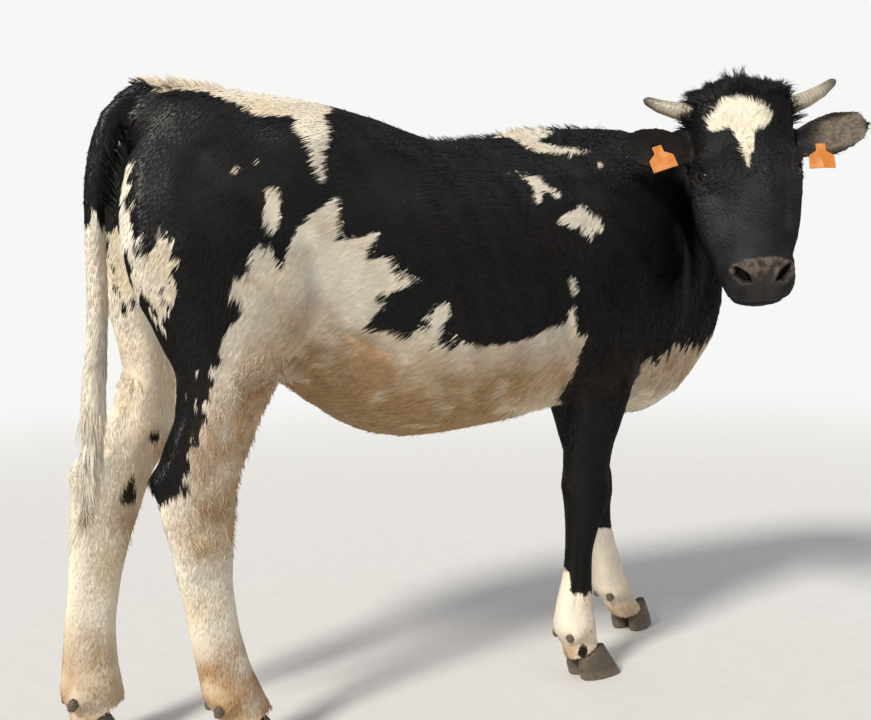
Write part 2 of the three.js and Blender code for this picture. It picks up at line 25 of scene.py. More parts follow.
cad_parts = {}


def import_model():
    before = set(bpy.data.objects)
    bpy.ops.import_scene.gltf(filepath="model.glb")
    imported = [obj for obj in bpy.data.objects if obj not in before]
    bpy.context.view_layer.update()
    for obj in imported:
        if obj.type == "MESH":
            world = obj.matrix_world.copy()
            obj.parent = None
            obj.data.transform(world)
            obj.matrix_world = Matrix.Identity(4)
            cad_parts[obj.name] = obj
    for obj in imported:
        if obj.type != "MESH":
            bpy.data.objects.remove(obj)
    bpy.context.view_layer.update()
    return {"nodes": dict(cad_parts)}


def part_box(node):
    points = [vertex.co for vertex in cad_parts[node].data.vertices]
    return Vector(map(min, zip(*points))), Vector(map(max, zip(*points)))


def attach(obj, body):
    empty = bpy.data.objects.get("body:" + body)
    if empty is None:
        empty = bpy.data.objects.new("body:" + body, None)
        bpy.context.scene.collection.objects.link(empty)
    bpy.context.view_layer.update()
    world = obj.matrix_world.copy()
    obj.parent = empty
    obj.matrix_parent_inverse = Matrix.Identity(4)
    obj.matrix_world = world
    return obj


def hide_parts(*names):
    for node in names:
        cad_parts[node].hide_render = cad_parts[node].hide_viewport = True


LOG = logging.getLogger("cow")
RIGHT, LEFT = -1.0, 1.0
Array = np.ndarray
Triple = tuple[float, float, float]
Colour = tuple[float, float, float, float]
Chain = tuple[tuple[float, ...], ...]  # places, most with a radius or other sizes after them


# ---------------- numbers over many points at once
def ease(value: Array, low: float, high: float) -> Array:
    """A smooth step from 0 at low to 1 at high; high may be the smaller one."""
    t = np.clip((value - low) / (high - low), 0.0, 1.0)
    return t * t * (3.0 - 2.0 * t)


def bell(value: Array, width: float) -> Array:
    """One at zero, fading to nothing about two widths away."""
    return np.exp(-((value / width) ** 2))


def lengths(vectors: Array) -> Array:
    """How long each vector is."""
    return np.linalg.norm(vectors, axis=1)


def unit(vectors: Array) -> Array:
    """Vectors of length one."""
    return vectors / np.maximum(np.linalg.norm(vectors, axis=-1, keepdims=True), 1e-12)


def lattice(cells: Array, seed: int) -> Array:
    """A fixed number from 0 to 1 for each cell of a whole-number grid.

    Args:
        cells: Whole numbers, one row for each cell.
        seed: Chooses the pattern.

    Returns:
        One value for each row.
    """
    mixed = cells @ np.array([374761393, 668265263, 2147483647]) + seed * 974634777
    mixed = (mixed ^ (mixed >> 13)) * 1274126177
    return ((mixed ^ (mixed >> 16)) & 0xFFFFFF) / float(0x1000000)


def noise(points: Array, size: float, seed: int) -> Array:
    """Smooth noise from -1 to 1 with blobs about as large as size.

    Args:
        points: Places, one row each.
        size: Width of a blob in metres.
        seed: Chooses the pattern.

    Returns:
        One value for each point.
    """
    q = points / size
    cell = np.floor(q).astype(np.int64)
    f = q - cell
    f = f * f * (3.0 - 2.0 * f)
    total = np.zeros(len(points))
    for dx in (0, 1):
        for dy in (0, 1):
            for dz in (0, 1):
                weight = np.abs(1 - dx - f[:, 0]) * np.abs(1 - dy - f[:, 1]) * np.abs(1 - dz - f[:, 2])
                total += weight * lattice(cell + np.array([dx, dy, dz]), seed)
    return 2.0 * total - 1.0


def chain_distance(points: Array, chain: Chain) -> Array:
    """Signed distance into a chain of round-ended strokes: positive inside.

    Args:
        points: Places with k coordinates each.
        chain: Rows of k coordinates and a radius, in millimetres. Neighbours are joined by a tapering stroke.

    Returns:
        The depth inside the nearest stroke, negative outside.
    """
    rows = np.array(chain) / 1000.0
    if len(rows) == 1:
        return rows[0, -1] - lengths(points - rows[0, :-1])
    best = np.full(len(points), -1e9)
    for a, b in zip(rows[:-1], rows[1:]):
        along = b[:-1] - a[:-1]
        t = np.clip(((points - a[:-1]) @ along) / max(along @ along, 1e-12), 0.0, 1.0)
        gap = lengths(points - (a[:-1] + t[:, None] * along))
        best = np.maximum(best, a[-1] + t * (b[-1] - a[-1]) - gap)
    return best


# ---------------- where things are on the animal
@dataclass(frozen=True)
class Layout:
    """The body's and the head's own axes in the row's frame.

    The body's origin is on the floor under the middle plane of the trunk. The head's axes are X out of the
    forehead, Y to its left and Z up from the muzzle to the poll, where its origin lies.
    """

    behind: float = 0.69798
    right: float = 0.20936
    poll: Triple = (0.609, -0.274, 1.229)
    turn: float = -122.0
    nod: float = 17.5
    roll: float = 3.0

    def body_origin(self) -> Array:
        """The body's origin in the row's frame: the tail and the right ear reach known distances from it."""
        rear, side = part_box("tail_switch")[0].x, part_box("ear_right")[0].y
        return np.array([rear + self.behind, side + self.right, 0.0])

    def head_matrix(self) -> Matrix:
        """The head's axes in the row's frame.

        Returns:
            The matrix that carries the head's axes to the row's frame.
        """
        turned = Matrix.Rotation(math.radians(self.turn), 4, "Z")
        nodded = Matrix.Rotation(math.radians(-self.nod), 4, "Y")
        rolled = Matrix.Rotation(math.radians(self.roll), 4, "X")
        place = Matrix.Translation(Vector(self.body_origin()) + Vector(self.poll))
        return place @ turned @ nodded @ rolled

    def to_head(self, points: Array) -> Array:
        """Points of the row's frame in the head's axes."""
        matrix = np.array(self.head_matrix())
        return (points - matrix[:3, 3]) @ matrix[:3, :3]

    def from_head(self, points: Array) -> Array:
        """Points in the head's axes in the row's frame."""
        matrix = np.array(self.head_matrix())
        return points @ matrix[:3, :3].T + matrix[:3, 3]

    def turned(self, vectors: Array, to_head: bool = True) -> Array:
        """Directions carried into the head's axes, or out of them."""
        turn = np.array(self.head_matrix())[:3, :3]
        return vectors @ (turn if to_head else turn.T)


@dataclass
class Places:
    """Coordinates and soft masks of many points: what part of the animal each one belongs to."""

    layout: Layout
    points: Array
    body: Array = field(init=False)
    head: Array = field(init=False)
    masks: dict[str, Array] = field(init=False)

    TAIL_LINE = (
        (-425, -2, 1150, 26), (-472, -3, 1172, 27), (-525, -5, 1176, 26), (-577, -8, 1152, 25),
        (-612, -12, 1106, 23), (-634, -16, 1040, 21), (-641, -18, 960, 21), (-640, -20, 880, 21),
        (-642, -22, 790, 21), (-648, -24, 700, 21), (-657, -26, 620, 24), (-668, -28, 540, 28),
        (-675, -29, 480, 22), (-678, -29, 446, 8),
    )

    def __post_init__(self) -> None:
        """Works out the coordinates and masks."""
        self.body = self.points - self.layout.body_origin()
        self.head = self.layout.to_head(self.points)
        self.masks = self._masks()

    def _masks(self) -> dict[str, Array]:
        """Soft masks by name, from 0 to 1.

        Returns:
            One array for each name.
        """
        x, _, z = self.body.T
        hx, hy, hz = self.head.T
        tilt = math.radians(19.0)
        ahead = (hx + 0.092) * math.cos(tilt) - (hz + 0.01) * math.sin(tilt)
        near = ease(np.abs(hy), 0.135, 0.125) * ease(hz, -0.5, -0.47) * ease(hx, -0.235, -0.215)
        head = ease(ahead, -0.03, 0.02) * near
        out = np.abs(hy) - 0.082
        middle = -0.111 + np.where(hy > 0, 0.014, -0.002) * (out / 0.172) ** 2
        flat = np.abs(hx + 0.07 - 0.287 * out)
        ear = ease(out, 0.018, 0.034) * ease(out, 0.2, 0.19) * ease(flat, 0.04, 0.03)
        ear *= ease(np.abs(hz - middle), 0.075, 0.06)
        tail = ease(chain_distance(self.body, self.TAIL_LINE), -0.02, -0.01) * ease(x, -0.505, -0.535)
        head = np.maximum(head, ear)
        fore = ease(z, 0.64, 0.56) * ease(x, 0.12, 0.16) * (1 - head)
        hind = ease(z, 0.8, 0.6) * ease(x, -0.26, -0.31) * (1 - tail)
        neck = ease(x + 0.65 * (z - 1.18), 0.46, 0.56) * ease(z, 0.72, 0.82) * (1 - head)
        muzzle = head * ease(hz, -0.345, -0.375)
        return dict(head=head, ear=ear, tail=tail, fore=fore, hind=hind, neck=neck, muzzle=muzzle)


# ---------------- meshes and arrays
def column(items: object, name: str, width: int = 1, kind: type = np.float64) -> Array:
    """One property of all the items of a mesh, a row for each.

    Args:
        items: The mesh's vertices, edges, triangles or an attribute's data.
        name: The property.
        width: How many numbers each item has.
        kind: Their type.

    Returns:
        One value or row for each item.
    """
    flat = np.empty(len(items) * width, kind)
    items.foreach_get(name, flat)
    return flat.reshape(-1, width) if width > 1 else flat


def mesh_points(mesh: Mesh) -> Array:
    """The mesh's vertices."""
    return column(mesh.vertices, "co", 3)


def mesh_normals(mesh: Mesh) -> Array:
    """The mesh's vertex normals."""
    return column(mesh.vertex_normals, "vector", 3)


def set_points(mesh: Mesh, points: Array) -> None:
    """Moves the mesh's vertices to new places."""
    mesh.vertices.foreach_set("co", points.astype(np.float32).ravel())
    mesh.update()


@contextmanager
def editing(mesh: Mesh) -> Iterator[bmesh.types.BMesh]:
    """A mesh opened for editing and written back at the end.

    Args:
        mesh: The mesh, which is written when the block ends.

    Yields:
        The mesh opened for editing.
    """
    work = bmesh.new()
    work.from_mesh(mesh)
    yield work
    work.to_mesh(mesh)
    work.free()


def outward(mesh: Mesh) -> None:
    """Merges doubles and turns the faces of a closed mesh outwards.

    Args:
        mesh: The mesh that is changed.
    """
    with editing(mesh) as work:
        bmesh.ops.remove_doubles(work, verts=work.verts, dist=1e-6)
        bmesh.ops.recalc_face_normals(work, faces=work.faces)


def new_object(name: str, mesh: Mesh) -> Object:
    """An object in the scene that shows the mesh.

    Args:
        name: The object's name.
        mesh: Its mesh.

    Returns:
        The new object, at the origin.
    """
    made = bpy.data.objects.new(name, mesh)
    bpy.context.scene.collection.objects.link(made)
    return made


def through_modifier(source: Object, kind: str, **settings: object) -> Mesh:
    """The mesh that one modifier makes of an object, which is used up.

    Args:
        source: The object that is evaluated.
        kind: The modifier's type.
        settings: The modifier's properties.

    Returns:
        A new mesh.
    """
    modifier = source.modifiers.new(kind.lower(), kind)
    for name, value in settings.items():
        setattr(modifier, name, value)
    graph = bpy.context.evaluated_depsgraph_get()
    made = bpy.data.meshes.new_from_object(source.evaluated_get(graph), depsgraph=graph)
    bpy.data.meshes.remove(source.data)  # the object goes with its mesh
    return made


def in_even_faces(node: Object, voxel: float) -> Mesh:
    """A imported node's shape in small even faces.

    Args:
        node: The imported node, which is left as it is.
        voxel: The size of the faces in metres.

    Returns:
        A new mesh.
    """
    copy = node.data.copy()
    outward(copy)
    return through_modifier(new_object("copy", copy), "REMESH", mode="VOXEL", voxel_size=voxel)


def relax(mesh: Mesh, weight: Array, rounds: int) -> None:
    """Moves each vertex towards the middle of its neighbours.

    Args:
        mesh: The mesh that is changed.
        weight: How far each vertex may follow, from 0 to 1.
        rounds: How often.
    """
    points = mesh_points(mesh)
    a, b = column(mesh.edges, "vertices", 2, np.int32).T
    count = len(points)
    degree = np.maximum(np.bincount(a, minlength=count) + np.bincount(b, minlength=count), 1)
    pull = (0.6 * weight / degree)[:, None]
    for _ in range(rounds):
        total = np.empty_like(points)
        for axis in range(3):
            flat = points[:, axis]
            total[:, axis] = np.bincount(a, flat[b], count) + np.bincount(b, flat[a], count)
        points += pull * (total - degree[:, None] * points)
    set_points(mesh, points)


def store(mesh: Mesh, name: str, values: Array) -> None:
    """Keeps a value or a vector for each vertex under a name that trees and materials read.

    Args:
        mesh: The mesh.
        name: The attribute's name.
        values: One value or row for each vertex.
    """
    kind, label = ("FLOAT", "value") if values.ndim == 1 else ("FLOAT_VECTOR", "vector")
    attribute = mesh.attributes.get(name) or mesh.attributes.new(name, kind, "POINT")
    attribute.data.foreach_set(label, values.astype(np.float32).ravel())


def finish_piece(piece: Object, slot: str, finish: Material, *nodes: str) -> Object:
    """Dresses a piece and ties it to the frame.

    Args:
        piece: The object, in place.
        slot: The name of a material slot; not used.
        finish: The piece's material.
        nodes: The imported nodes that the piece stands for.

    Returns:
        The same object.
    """
    piece.data.materials.clear()
    piece.data.materials.append(finish)
    piece.data.shade_smooth()
    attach(piece, "root")
    if nodes:
        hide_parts(*nodes)
    LOG.info("%s: %d faces", piece.name, len(piece.data.polygons))
    return piece


# ---------------- node trees
@dataclass
class Tree:
    """A short way to place and join the nodes of one shader or geometry tree."""

    nodes: bpy.types.Nodes
    links: bpy.types.NodeLinks

    @classmethod
    def of(cls, owner: NodeTree) -> Tree:
        """The tree of a material, world or group, emptied."""
        owner.nodes.clear()
        return cls(owner.nodes, owner.links)

    def add(self, kind: str, inputs: dict[str | int, object] | None = None, **settings: object) -> Node:
        """Places a node.

        Args:
            kind: The node's type name.
            inputs: For each input, by name or place, a socket to join or a value to set.
            settings: The node's own properties.

        Returns:
            The node.
        """
        node = self.nodes.new(kind)
        for name, value in settings.items():
            setattr(node, name, value)
        for key, value in (inputs or {}).items():
            if isinstance(value, NodeSocket):
                self.links.new(value, node.inputs[key])
            else:
                node.inputs[key].default_value = value
        return node

    def math(self, operation: str, *values: object, clamp: bool = False) -> NodeSocket:
        """A Math node's result."""
        made = self.add("ShaderNodeMath", dict(enumerate(values)), operation=operation, use_clamp=clamp)
        return made.outputs[0]

    def added(self, first: object, second: object) -> NodeSocket:
        """The sum of two vectors."""
        return self.add("ShaderNodeVectorMath", {0: first, 1: second}, operation="ADD").outputs[0]

    def distance(self, *sides: object) -> NodeSocket:
        """The distance that two coordinates give."""
        return self.math("SQRT", self.math("ADD", *(self.math("POWER", side, 2.0) for side in sides)))

    def scaled(self, vector: object, factor: object) -> NodeSocket:
        """A colour or vector times a number."""
        return self.add("ShaderNodeVectorMath", {0: vector, 3: factor}, operation="SCALE").outputs[0]

    def ramp(self, value: object, low: float, high: float, start: float = 0.0,
             end: float = 1.0) -> NodeSocket:
        """A value carried smoothly from one range to another."""
        inputs = {"Value": value, "From Min": low, "From Max": high, "To Min": start, "To Max": end}
        return self.add("ShaderNodeMapRange", inputs, interpolation_type="SMOOTHSTEP").outputs["Result"]

    def mix(self, factor: object, first: object, second: object) -> NodeSocket:
        """Two colours mixed."""
        return self.add("ShaderNodeMix", {"Factor": factor, 6: first, 7: second}, data_type="RGBA").outputs[2]

    def noise(self, size: float, detail: float = 2.0, stretch: Triple = (1, 1, 1)) -> NodeSocket:
        """Soft noise on object coordinates, with blobs about as large as size in metres.

        Args:
            size: The width of a blob in metres.
            detail: How many finer layers it has.
            stretch: How much tighter the blobs lie along each axis.

        Returns:
            A value from 0 to 1.
        """
        place = self.add("ShaderNodeTexCoord").outputs["Object"]
        if stretch != (1, 1, 1):
            place = self.add("ShaderNodeMapping", {"Vector": place, "Scale": stretch}).outputs[0]
        inputs = {"Vector": place, "Scale": 1.0 / size, "Detail": detail}
        return self.add("ShaderNodeTexNoise", inputs).outputs["Fac"]

    def attribute(self, name: str, output: str = "Fac") -> NodeSocket:
        """A value that the mesh carries, in a material."""
        return self.add("ShaderNodeAttribute", attribute_name=name).outputs[output]

    def carried(self, name: str, kind: str = "FLOAT_VECTOR") -> NodeSocket:
        """A value that the points carry, in a geometry tree."""
        return self.add("GeometryNodeInputNamedAttribute", {"Name": name}, data_type=kind).outputs[0]

    def keep(self, geometry: NodeSocket, name: str, value: NodeSocket, kind: str,
             domain: str = "POINT") -> NodeSocket:
        """Geometry that carries a value under a name."""
        inputs = {"Geometry": geometry, "Name": name, "Value": value}
        return self.add("GeometryNodeStoreNamedAttribute", inputs, data_type=kind, domain=domain).outputs[0]


Group = tuple[NodeTree, Tree, NodeOutputs]


def new_group(name: str, kind: str, inputs: Sequence[tuple], outputs: Sequence[tuple]) -> Group:
    """A node group with nothing in it but its input.

    Args:
        name: The group's name.
        kind: ShaderNodeTree or GeometryNodeTree.
        inputs: Name, socket type and default of each input.
        outputs: Name and socket type of each output.

    Returns:
        The group, its tree and the sockets that it is given.
    """
    group = bpy.data.node_groups.new(name, kind)
    for label, socket_type, default in inputs:
        made = group.interface.new_socket(label, in_out="INPUT", socket_type=socket_type)
        if default is not None:
            made.default_value = default
    for label, socket_type in outputs:
        group.interface.new_socket(label, in_out="OUTPUT", socket_type=socket_type)
    if kind == "GeometryNodeTree":
        group.is_modifier = True
    tree = Tree.of(group)
    return group, tree, tree.add("NodeGroupInput").outputs


def new_material(name: str) -> tuple[Material, Tree]:
    """A material with an empty node tree.

    Args:
        name: The material's name.

    Returns:
        The material and its tree.
    """
    made = bpy.data.materials.new(name)
    made.use_nodes = True
    return made, Tree.of(made.node_tree)


def close_material(tree: Tree, sockets: dict[str | int, object]) -> None:
    """Ends a material's tree in one Principled BSDF."""
    shader = tree.add("ShaderNodeBsdfPrincipled", sockets)
    tree.add("ShaderNodeOutputMaterial", {"Surface": shader.outputs[0]})


# ---------------- finishes
# the third mark is painted sheen: a painted highlight that greys the black hair
MARKS = ("White", "Stain", "Painted_sheen", "Tone")


@dataclass(frozen=True)
class HideColours:
    """The colours of the markings, as one shader group that skin and coat share."""

    black: Colour = (0.0038, 0.0035, 0.0035, 1)
    rust: Colour = (0.0075, 0.005, 0.0036, 1)
    # painted sheen: the grey of the painted highlight on the black hair
    painted_sheen_grey: Colour = (0.028, 0.027, 0.027, 1)
    white: Colour = (0.87, 0.79, 0.65, 1)
    cream: Colour = (0.76, 0.61, 0.4, 1)
    dirt: Colour = (0.4, 0.214, 0.07, 1)

    def place(self, tree: Tree, ragged: float = 0.0) -> NodeOutputs:
        """Places the group in a material, fed by the markings that the mesh carries.

        Args:
            tree: The material's tree.
            ragged: How far the edge of the white strays, in metres.

        Returns:
            The group's outputs: Colour and Mask.
        """
        group = bpy.data.node_groups.get("hide_colours") or self._group()
        inputs = {label: tree.attribute(label.lower()) for label in MARKS}
        return tree.add("ShaderNodeGroup", {**inputs, "Ragged": ragged}, node_tree=group).outputs

    def _group(self) -> NodeTree:
        """Makes the group, which turns the depth inside the white and the other marks into a colour.

        Returns:
            The new group.
        """
        inputs = [(label, "NodeSocketFloat", 0.0) for label in (*MARKS, "Ragged")]
        outputs = [("Colour", "NodeSocketColor"), ("Mask", "NodeSocketFloat")]
        group, tree, given = new_group("hide_colours", "ShaderNodeTree", inputs, outputs)
        wave = tree.math("SUBTRACT", tree.noise(0.014, 3.0), 0.5)
        depth = tree.math("MULTIPLY_ADD", wave, given["Ragged"], given["White"])
        mask = tree.ramp(depth, -0.0015, 0.0015)
        rusty = tree.ramp(tree.noise(0.16, 2.0), 0.5, 0.72)
        creamy = tree.ramp(tree.noise(0.11, 2.0), 0.42, 0.68, 0.0, 0.55)
        # painted sheen: the black is greyed where the hair is painted as lit
        dark = tree.mix(given["Painted_sheen"], tree.mix(rusty, self.black, self.rust), self.painted_sheen_grey)
        pale = tree.mix(creamy, self.white, self.cream)
        colour = tree.mix(mask, dark, pale)
        colour = tree.mix(tree.math("MULTIPLY", given["Stain"], 0.85, clamp=True), colour, self.dirt)
        light = tree.math("MULTIPLY_ADD", given["Tone"], 0.22, 1.0)
        tree.add("NodeGroupOutput", {"Colour": tree.scaled(colour, light), "Mask": mask})
        return group


@dataclass(frozen=True)
class SkinFinish:
    """Short fur and bare skin on the shape itself, with painted shade in its creases, nostrils and eye
    openings.
    """

    ragged: float = 0.016
    bare: Colour = (0.03, 0.024, 0.021, 1)
    pale_bare: Colour = (0.13, 0.098, 0.078, 1)
    inner_ear: Colour = (0.21, 0.165, 0.12, 1)
    # painted shade: near-black for the nostrils, the mouth slot, the pad's furrow, the eye openings and the
    # lids' folds
    deep: Colour = (0.006, 0.005, 0.005, 1)
    grain: float = 0.0022

    def material(self) -> Material:
        """The skin's material.

        Returns:
            The new material.
        """
        made, tree = new_material("skin")
        hide = HideColours().place(tree, self.ragged)
        bare = tree.attribute("bare")
        blotch = tree.ramp(tree.noise(0.018, 3.0), 0.4, 0.66)
        nude = tree.mix(tree.math("MULTIPLY", blotch, tree.attribute("pale")), self.bare, self.pale_bare)
        colour = tree.mix(bare, hide["Colour"], nude)
        down = tree.ramp(tree.noise(0.007, 3.0, (0.3, 1.0, 1.0)), 0.32, 0.62, 0.45, 1.0)
        colour = tree.mix(tree.math("MULTIPLY", tree.attribute("inner"), down), colour, self.inner_ear)
        # painted shade: the crease mask darkens the skin in creases, nostrils and eye openings
        colour = tree.mix(tree.attribute("crease"), colour, self.deep)
        place = tree.add("ShaderNodeTexCoord").outputs["Object"]
        cells = tree.add("ShaderNodeTexVoronoi", {"Vector": place, "Scale": 1.0 / self.grain})
        pebble = tree.math("MULTIPLY", cells.outputs["Distance"], bare)
        hair = tree.math("MULTIPLY", tree.noise(0.004, 3.0, (0.25, 1.0, 0.6)), 0.8)
        height = tree.math("ADD", tree.math("MULTIPLY", pebble, 0.9), hair)
        bump = tree.add("ShaderNodeBump", {"Strength": 0.55, "Distance": 0.0012, "Height": height})
        rough = tree.ramp(bare, 0.0, 1.0, 0.68, 0.4)
        close_material(tree, {"Base Color": colour, "Roughness": rough, "Normal": bump.outputs[0],
                              "Specular IOR Level": 0.18})
        return made


@dataclass(frozen=True)
class CoatFinish:
    """The hair of the tufts and locks, which is one colour along each tuft."""

    roughness: float = 0.44

    def material(self) -> Material:
        """The coat's material.

        Returns:
            The new material.
        """
        made, tree = new_material("coat")
        hide = HideColours().place(tree)
        gloss = tree.ramp(hide["Mask"], 0.0, 1.0, self.roughness - 0.08, self.roughness + 0.12)
        close_material(tree, {"Base Color": hide["Colour"], "Roughness": gloss, "Specular IOR Level": 0.24})
        return made


@dataclass(frozen=True)
class EyeFinish:
    """A wet dark eye: brown iris, level pupil and a rim of white."""

    iris: Colour = (0.014, 0.008, 0.005, 1)
    rim: Colour = (0.006, 0.004, 0.003, 1)
    white: Colour = (0.055, 0.04, 0.032, 1)
    pupil: Colour = (0.002, 0.002, 0.003, 1)
    pupil_shape: float = 0.62

    def material(self) -> Material:
        """The eye's material, which reads the place on the ball from the mesh.

        Returns:
            The new material.
        """
        made, tree = new_material("eye")
        at = tree.add("ShaderNodeSeparateXYZ", {0: tree.attribute("gaze", "Vector")}).outputs
        away = tree.distance(at["Y"], at["Z"])
        streak = tree.math("MULTIPLY", tree.math("SUBTRACT", tree.noise(0.0016, 3.0), 0.5), 0.1)
        iris = tree.mix(tree.ramp(tree.math("ADD", away, streak), 0.45, 0.74), self.iris, self.rim)
        colour = tree.mix(tree.ramp(away, 0.74, 0.82), iris, self.white)
        pupil = tree.distance(tree.math("MULTIPLY", at["Y"], self.pupil_shape), at["Z"])
        colour = tree.mix(tree.ramp(pupil, 0.2, 0.24), self.pupil, colour)
        close_material(tree, {"Base Color": colour, "Roughness": 0.14, "Specular IOR Level": 0.35})
        return made


@dataclass(frozen=True)
class HornFinish:
    """Grown horn in rings or bands, with darker places and fine grooves."""

    name: str = "horn"
    pale: Colour = (0.47, 0.41, 0.31, 1)
    dark: Colour = (0.055, 0.043, 0.034, 1)
    tip: Colour = (0.1, 0.082, 0.066, 1)
    band: float = 0.008
    roughness: float = 0.42

    def material(self) -> Material:
        """The horn's material. The mesh carries the share of the length, and that length in metres.

        Returns:
            The new material.
        """
        made, tree = new_material(self.name)
        share, run = tree.attribute("share"), tree.attribute("run")
        drift = tree.math("MULTIPLY", tree.noise(0.012, 3.0), 1.1)
        phase = tree.math("MULTIPLY_ADD", run, math.tau / self.band, tree.math("MULTIPLY", drift, 4.0))
        rings = tree.math("SINE", phase)
        streaks = tree.noise(0.006, 4.0)
        colour = tree.mix(tree.ramp(share, 0.62, 1.0), self.pale, self.tip)
        root = tree.ramp(tree.math("ADD", share, tree.math("MULTIPLY", drift, 0.12)), 0.24, 0.04)
        colour = tree.mix(root, colour, self.dark)
        colour = tree.mix(tree.ramp(rings, 0.1, 1.0, 0.0, 0.28), colour, self.dark)
        colour = tree.mix(tree.ramp(streaks, 0.5, 0.72, 0.0, 0.45), colour, self.dark)
        height = tree.math("ADD", tree.math("MULTIPLY", rings, 0.35), streaks)
        bump = tree.add("ShaderNodeBump", {"Strength": 0.5, "Distance": 0.0008, "Height": height})
        rough = tree.ramp(streaks, 0.3, 0.7, self.roughness - 0.08, self.roughness + 0.12)
        close_material(tree, {"Base Color": colour, "Roughness": rough, "Normal": bump.outputs[0]})
        return made


@dataclass(frozen=True)
class TagFinish:
    """Soft orange plastic, scuffed and a little dirty."""

    orange: Colour = (0.58, 0.185, 0.026, 1)
    worn: Colour = (0.72, 0.34, 0.1, 1)
    dirt: Colour = (0.2, 0.1, 0.04, 1)

    def material(self) -> Material:
        """The tag's material.

        Returns:
            The new material.
        """
        made, tree = new_material("ear_tag")
        cloud = tree.noise(0.016, 4.0)
        colour = tree.mix(tree.ramp(cloud, 0.42, 0.7, 0.0, 0.6), self.orange, self.worn)
        specks = tree.noise(0.0035, 3.0)
        colour = tree.mix(tree.ramp(specks, 0.62, 0.76, 0.0, 0.75), colour, self.dirt)
        bump = tree.add("ShaderNodeBump", {"Strength": 0.35, "Distance": 0.0005, "Height": specks})
        rough = tree.ramp(cloud, 0.3, 0.7, 0.34, 0.52)
        close_material(tree, {"Base Color": colour, "Roughness": rough, "Normal": bump.outputs[0]})
        return made


# ---------------- markings
class Shade(Enum):
    """What a patch paints."""

    WHITE = 1.0
    BLACK = -1.0


@dataclass(frozen=True)
class Patches:
    """Markings of one shade, each a chain of strokes.

    Each point of a chain has its place in the body's axes, or its Y and Z in the head's, and a radius. A
    later patch paints over an earlier one.
    """

    shade: Shade
    chains: tuple[Chain, ...]
    on_head: bool = False


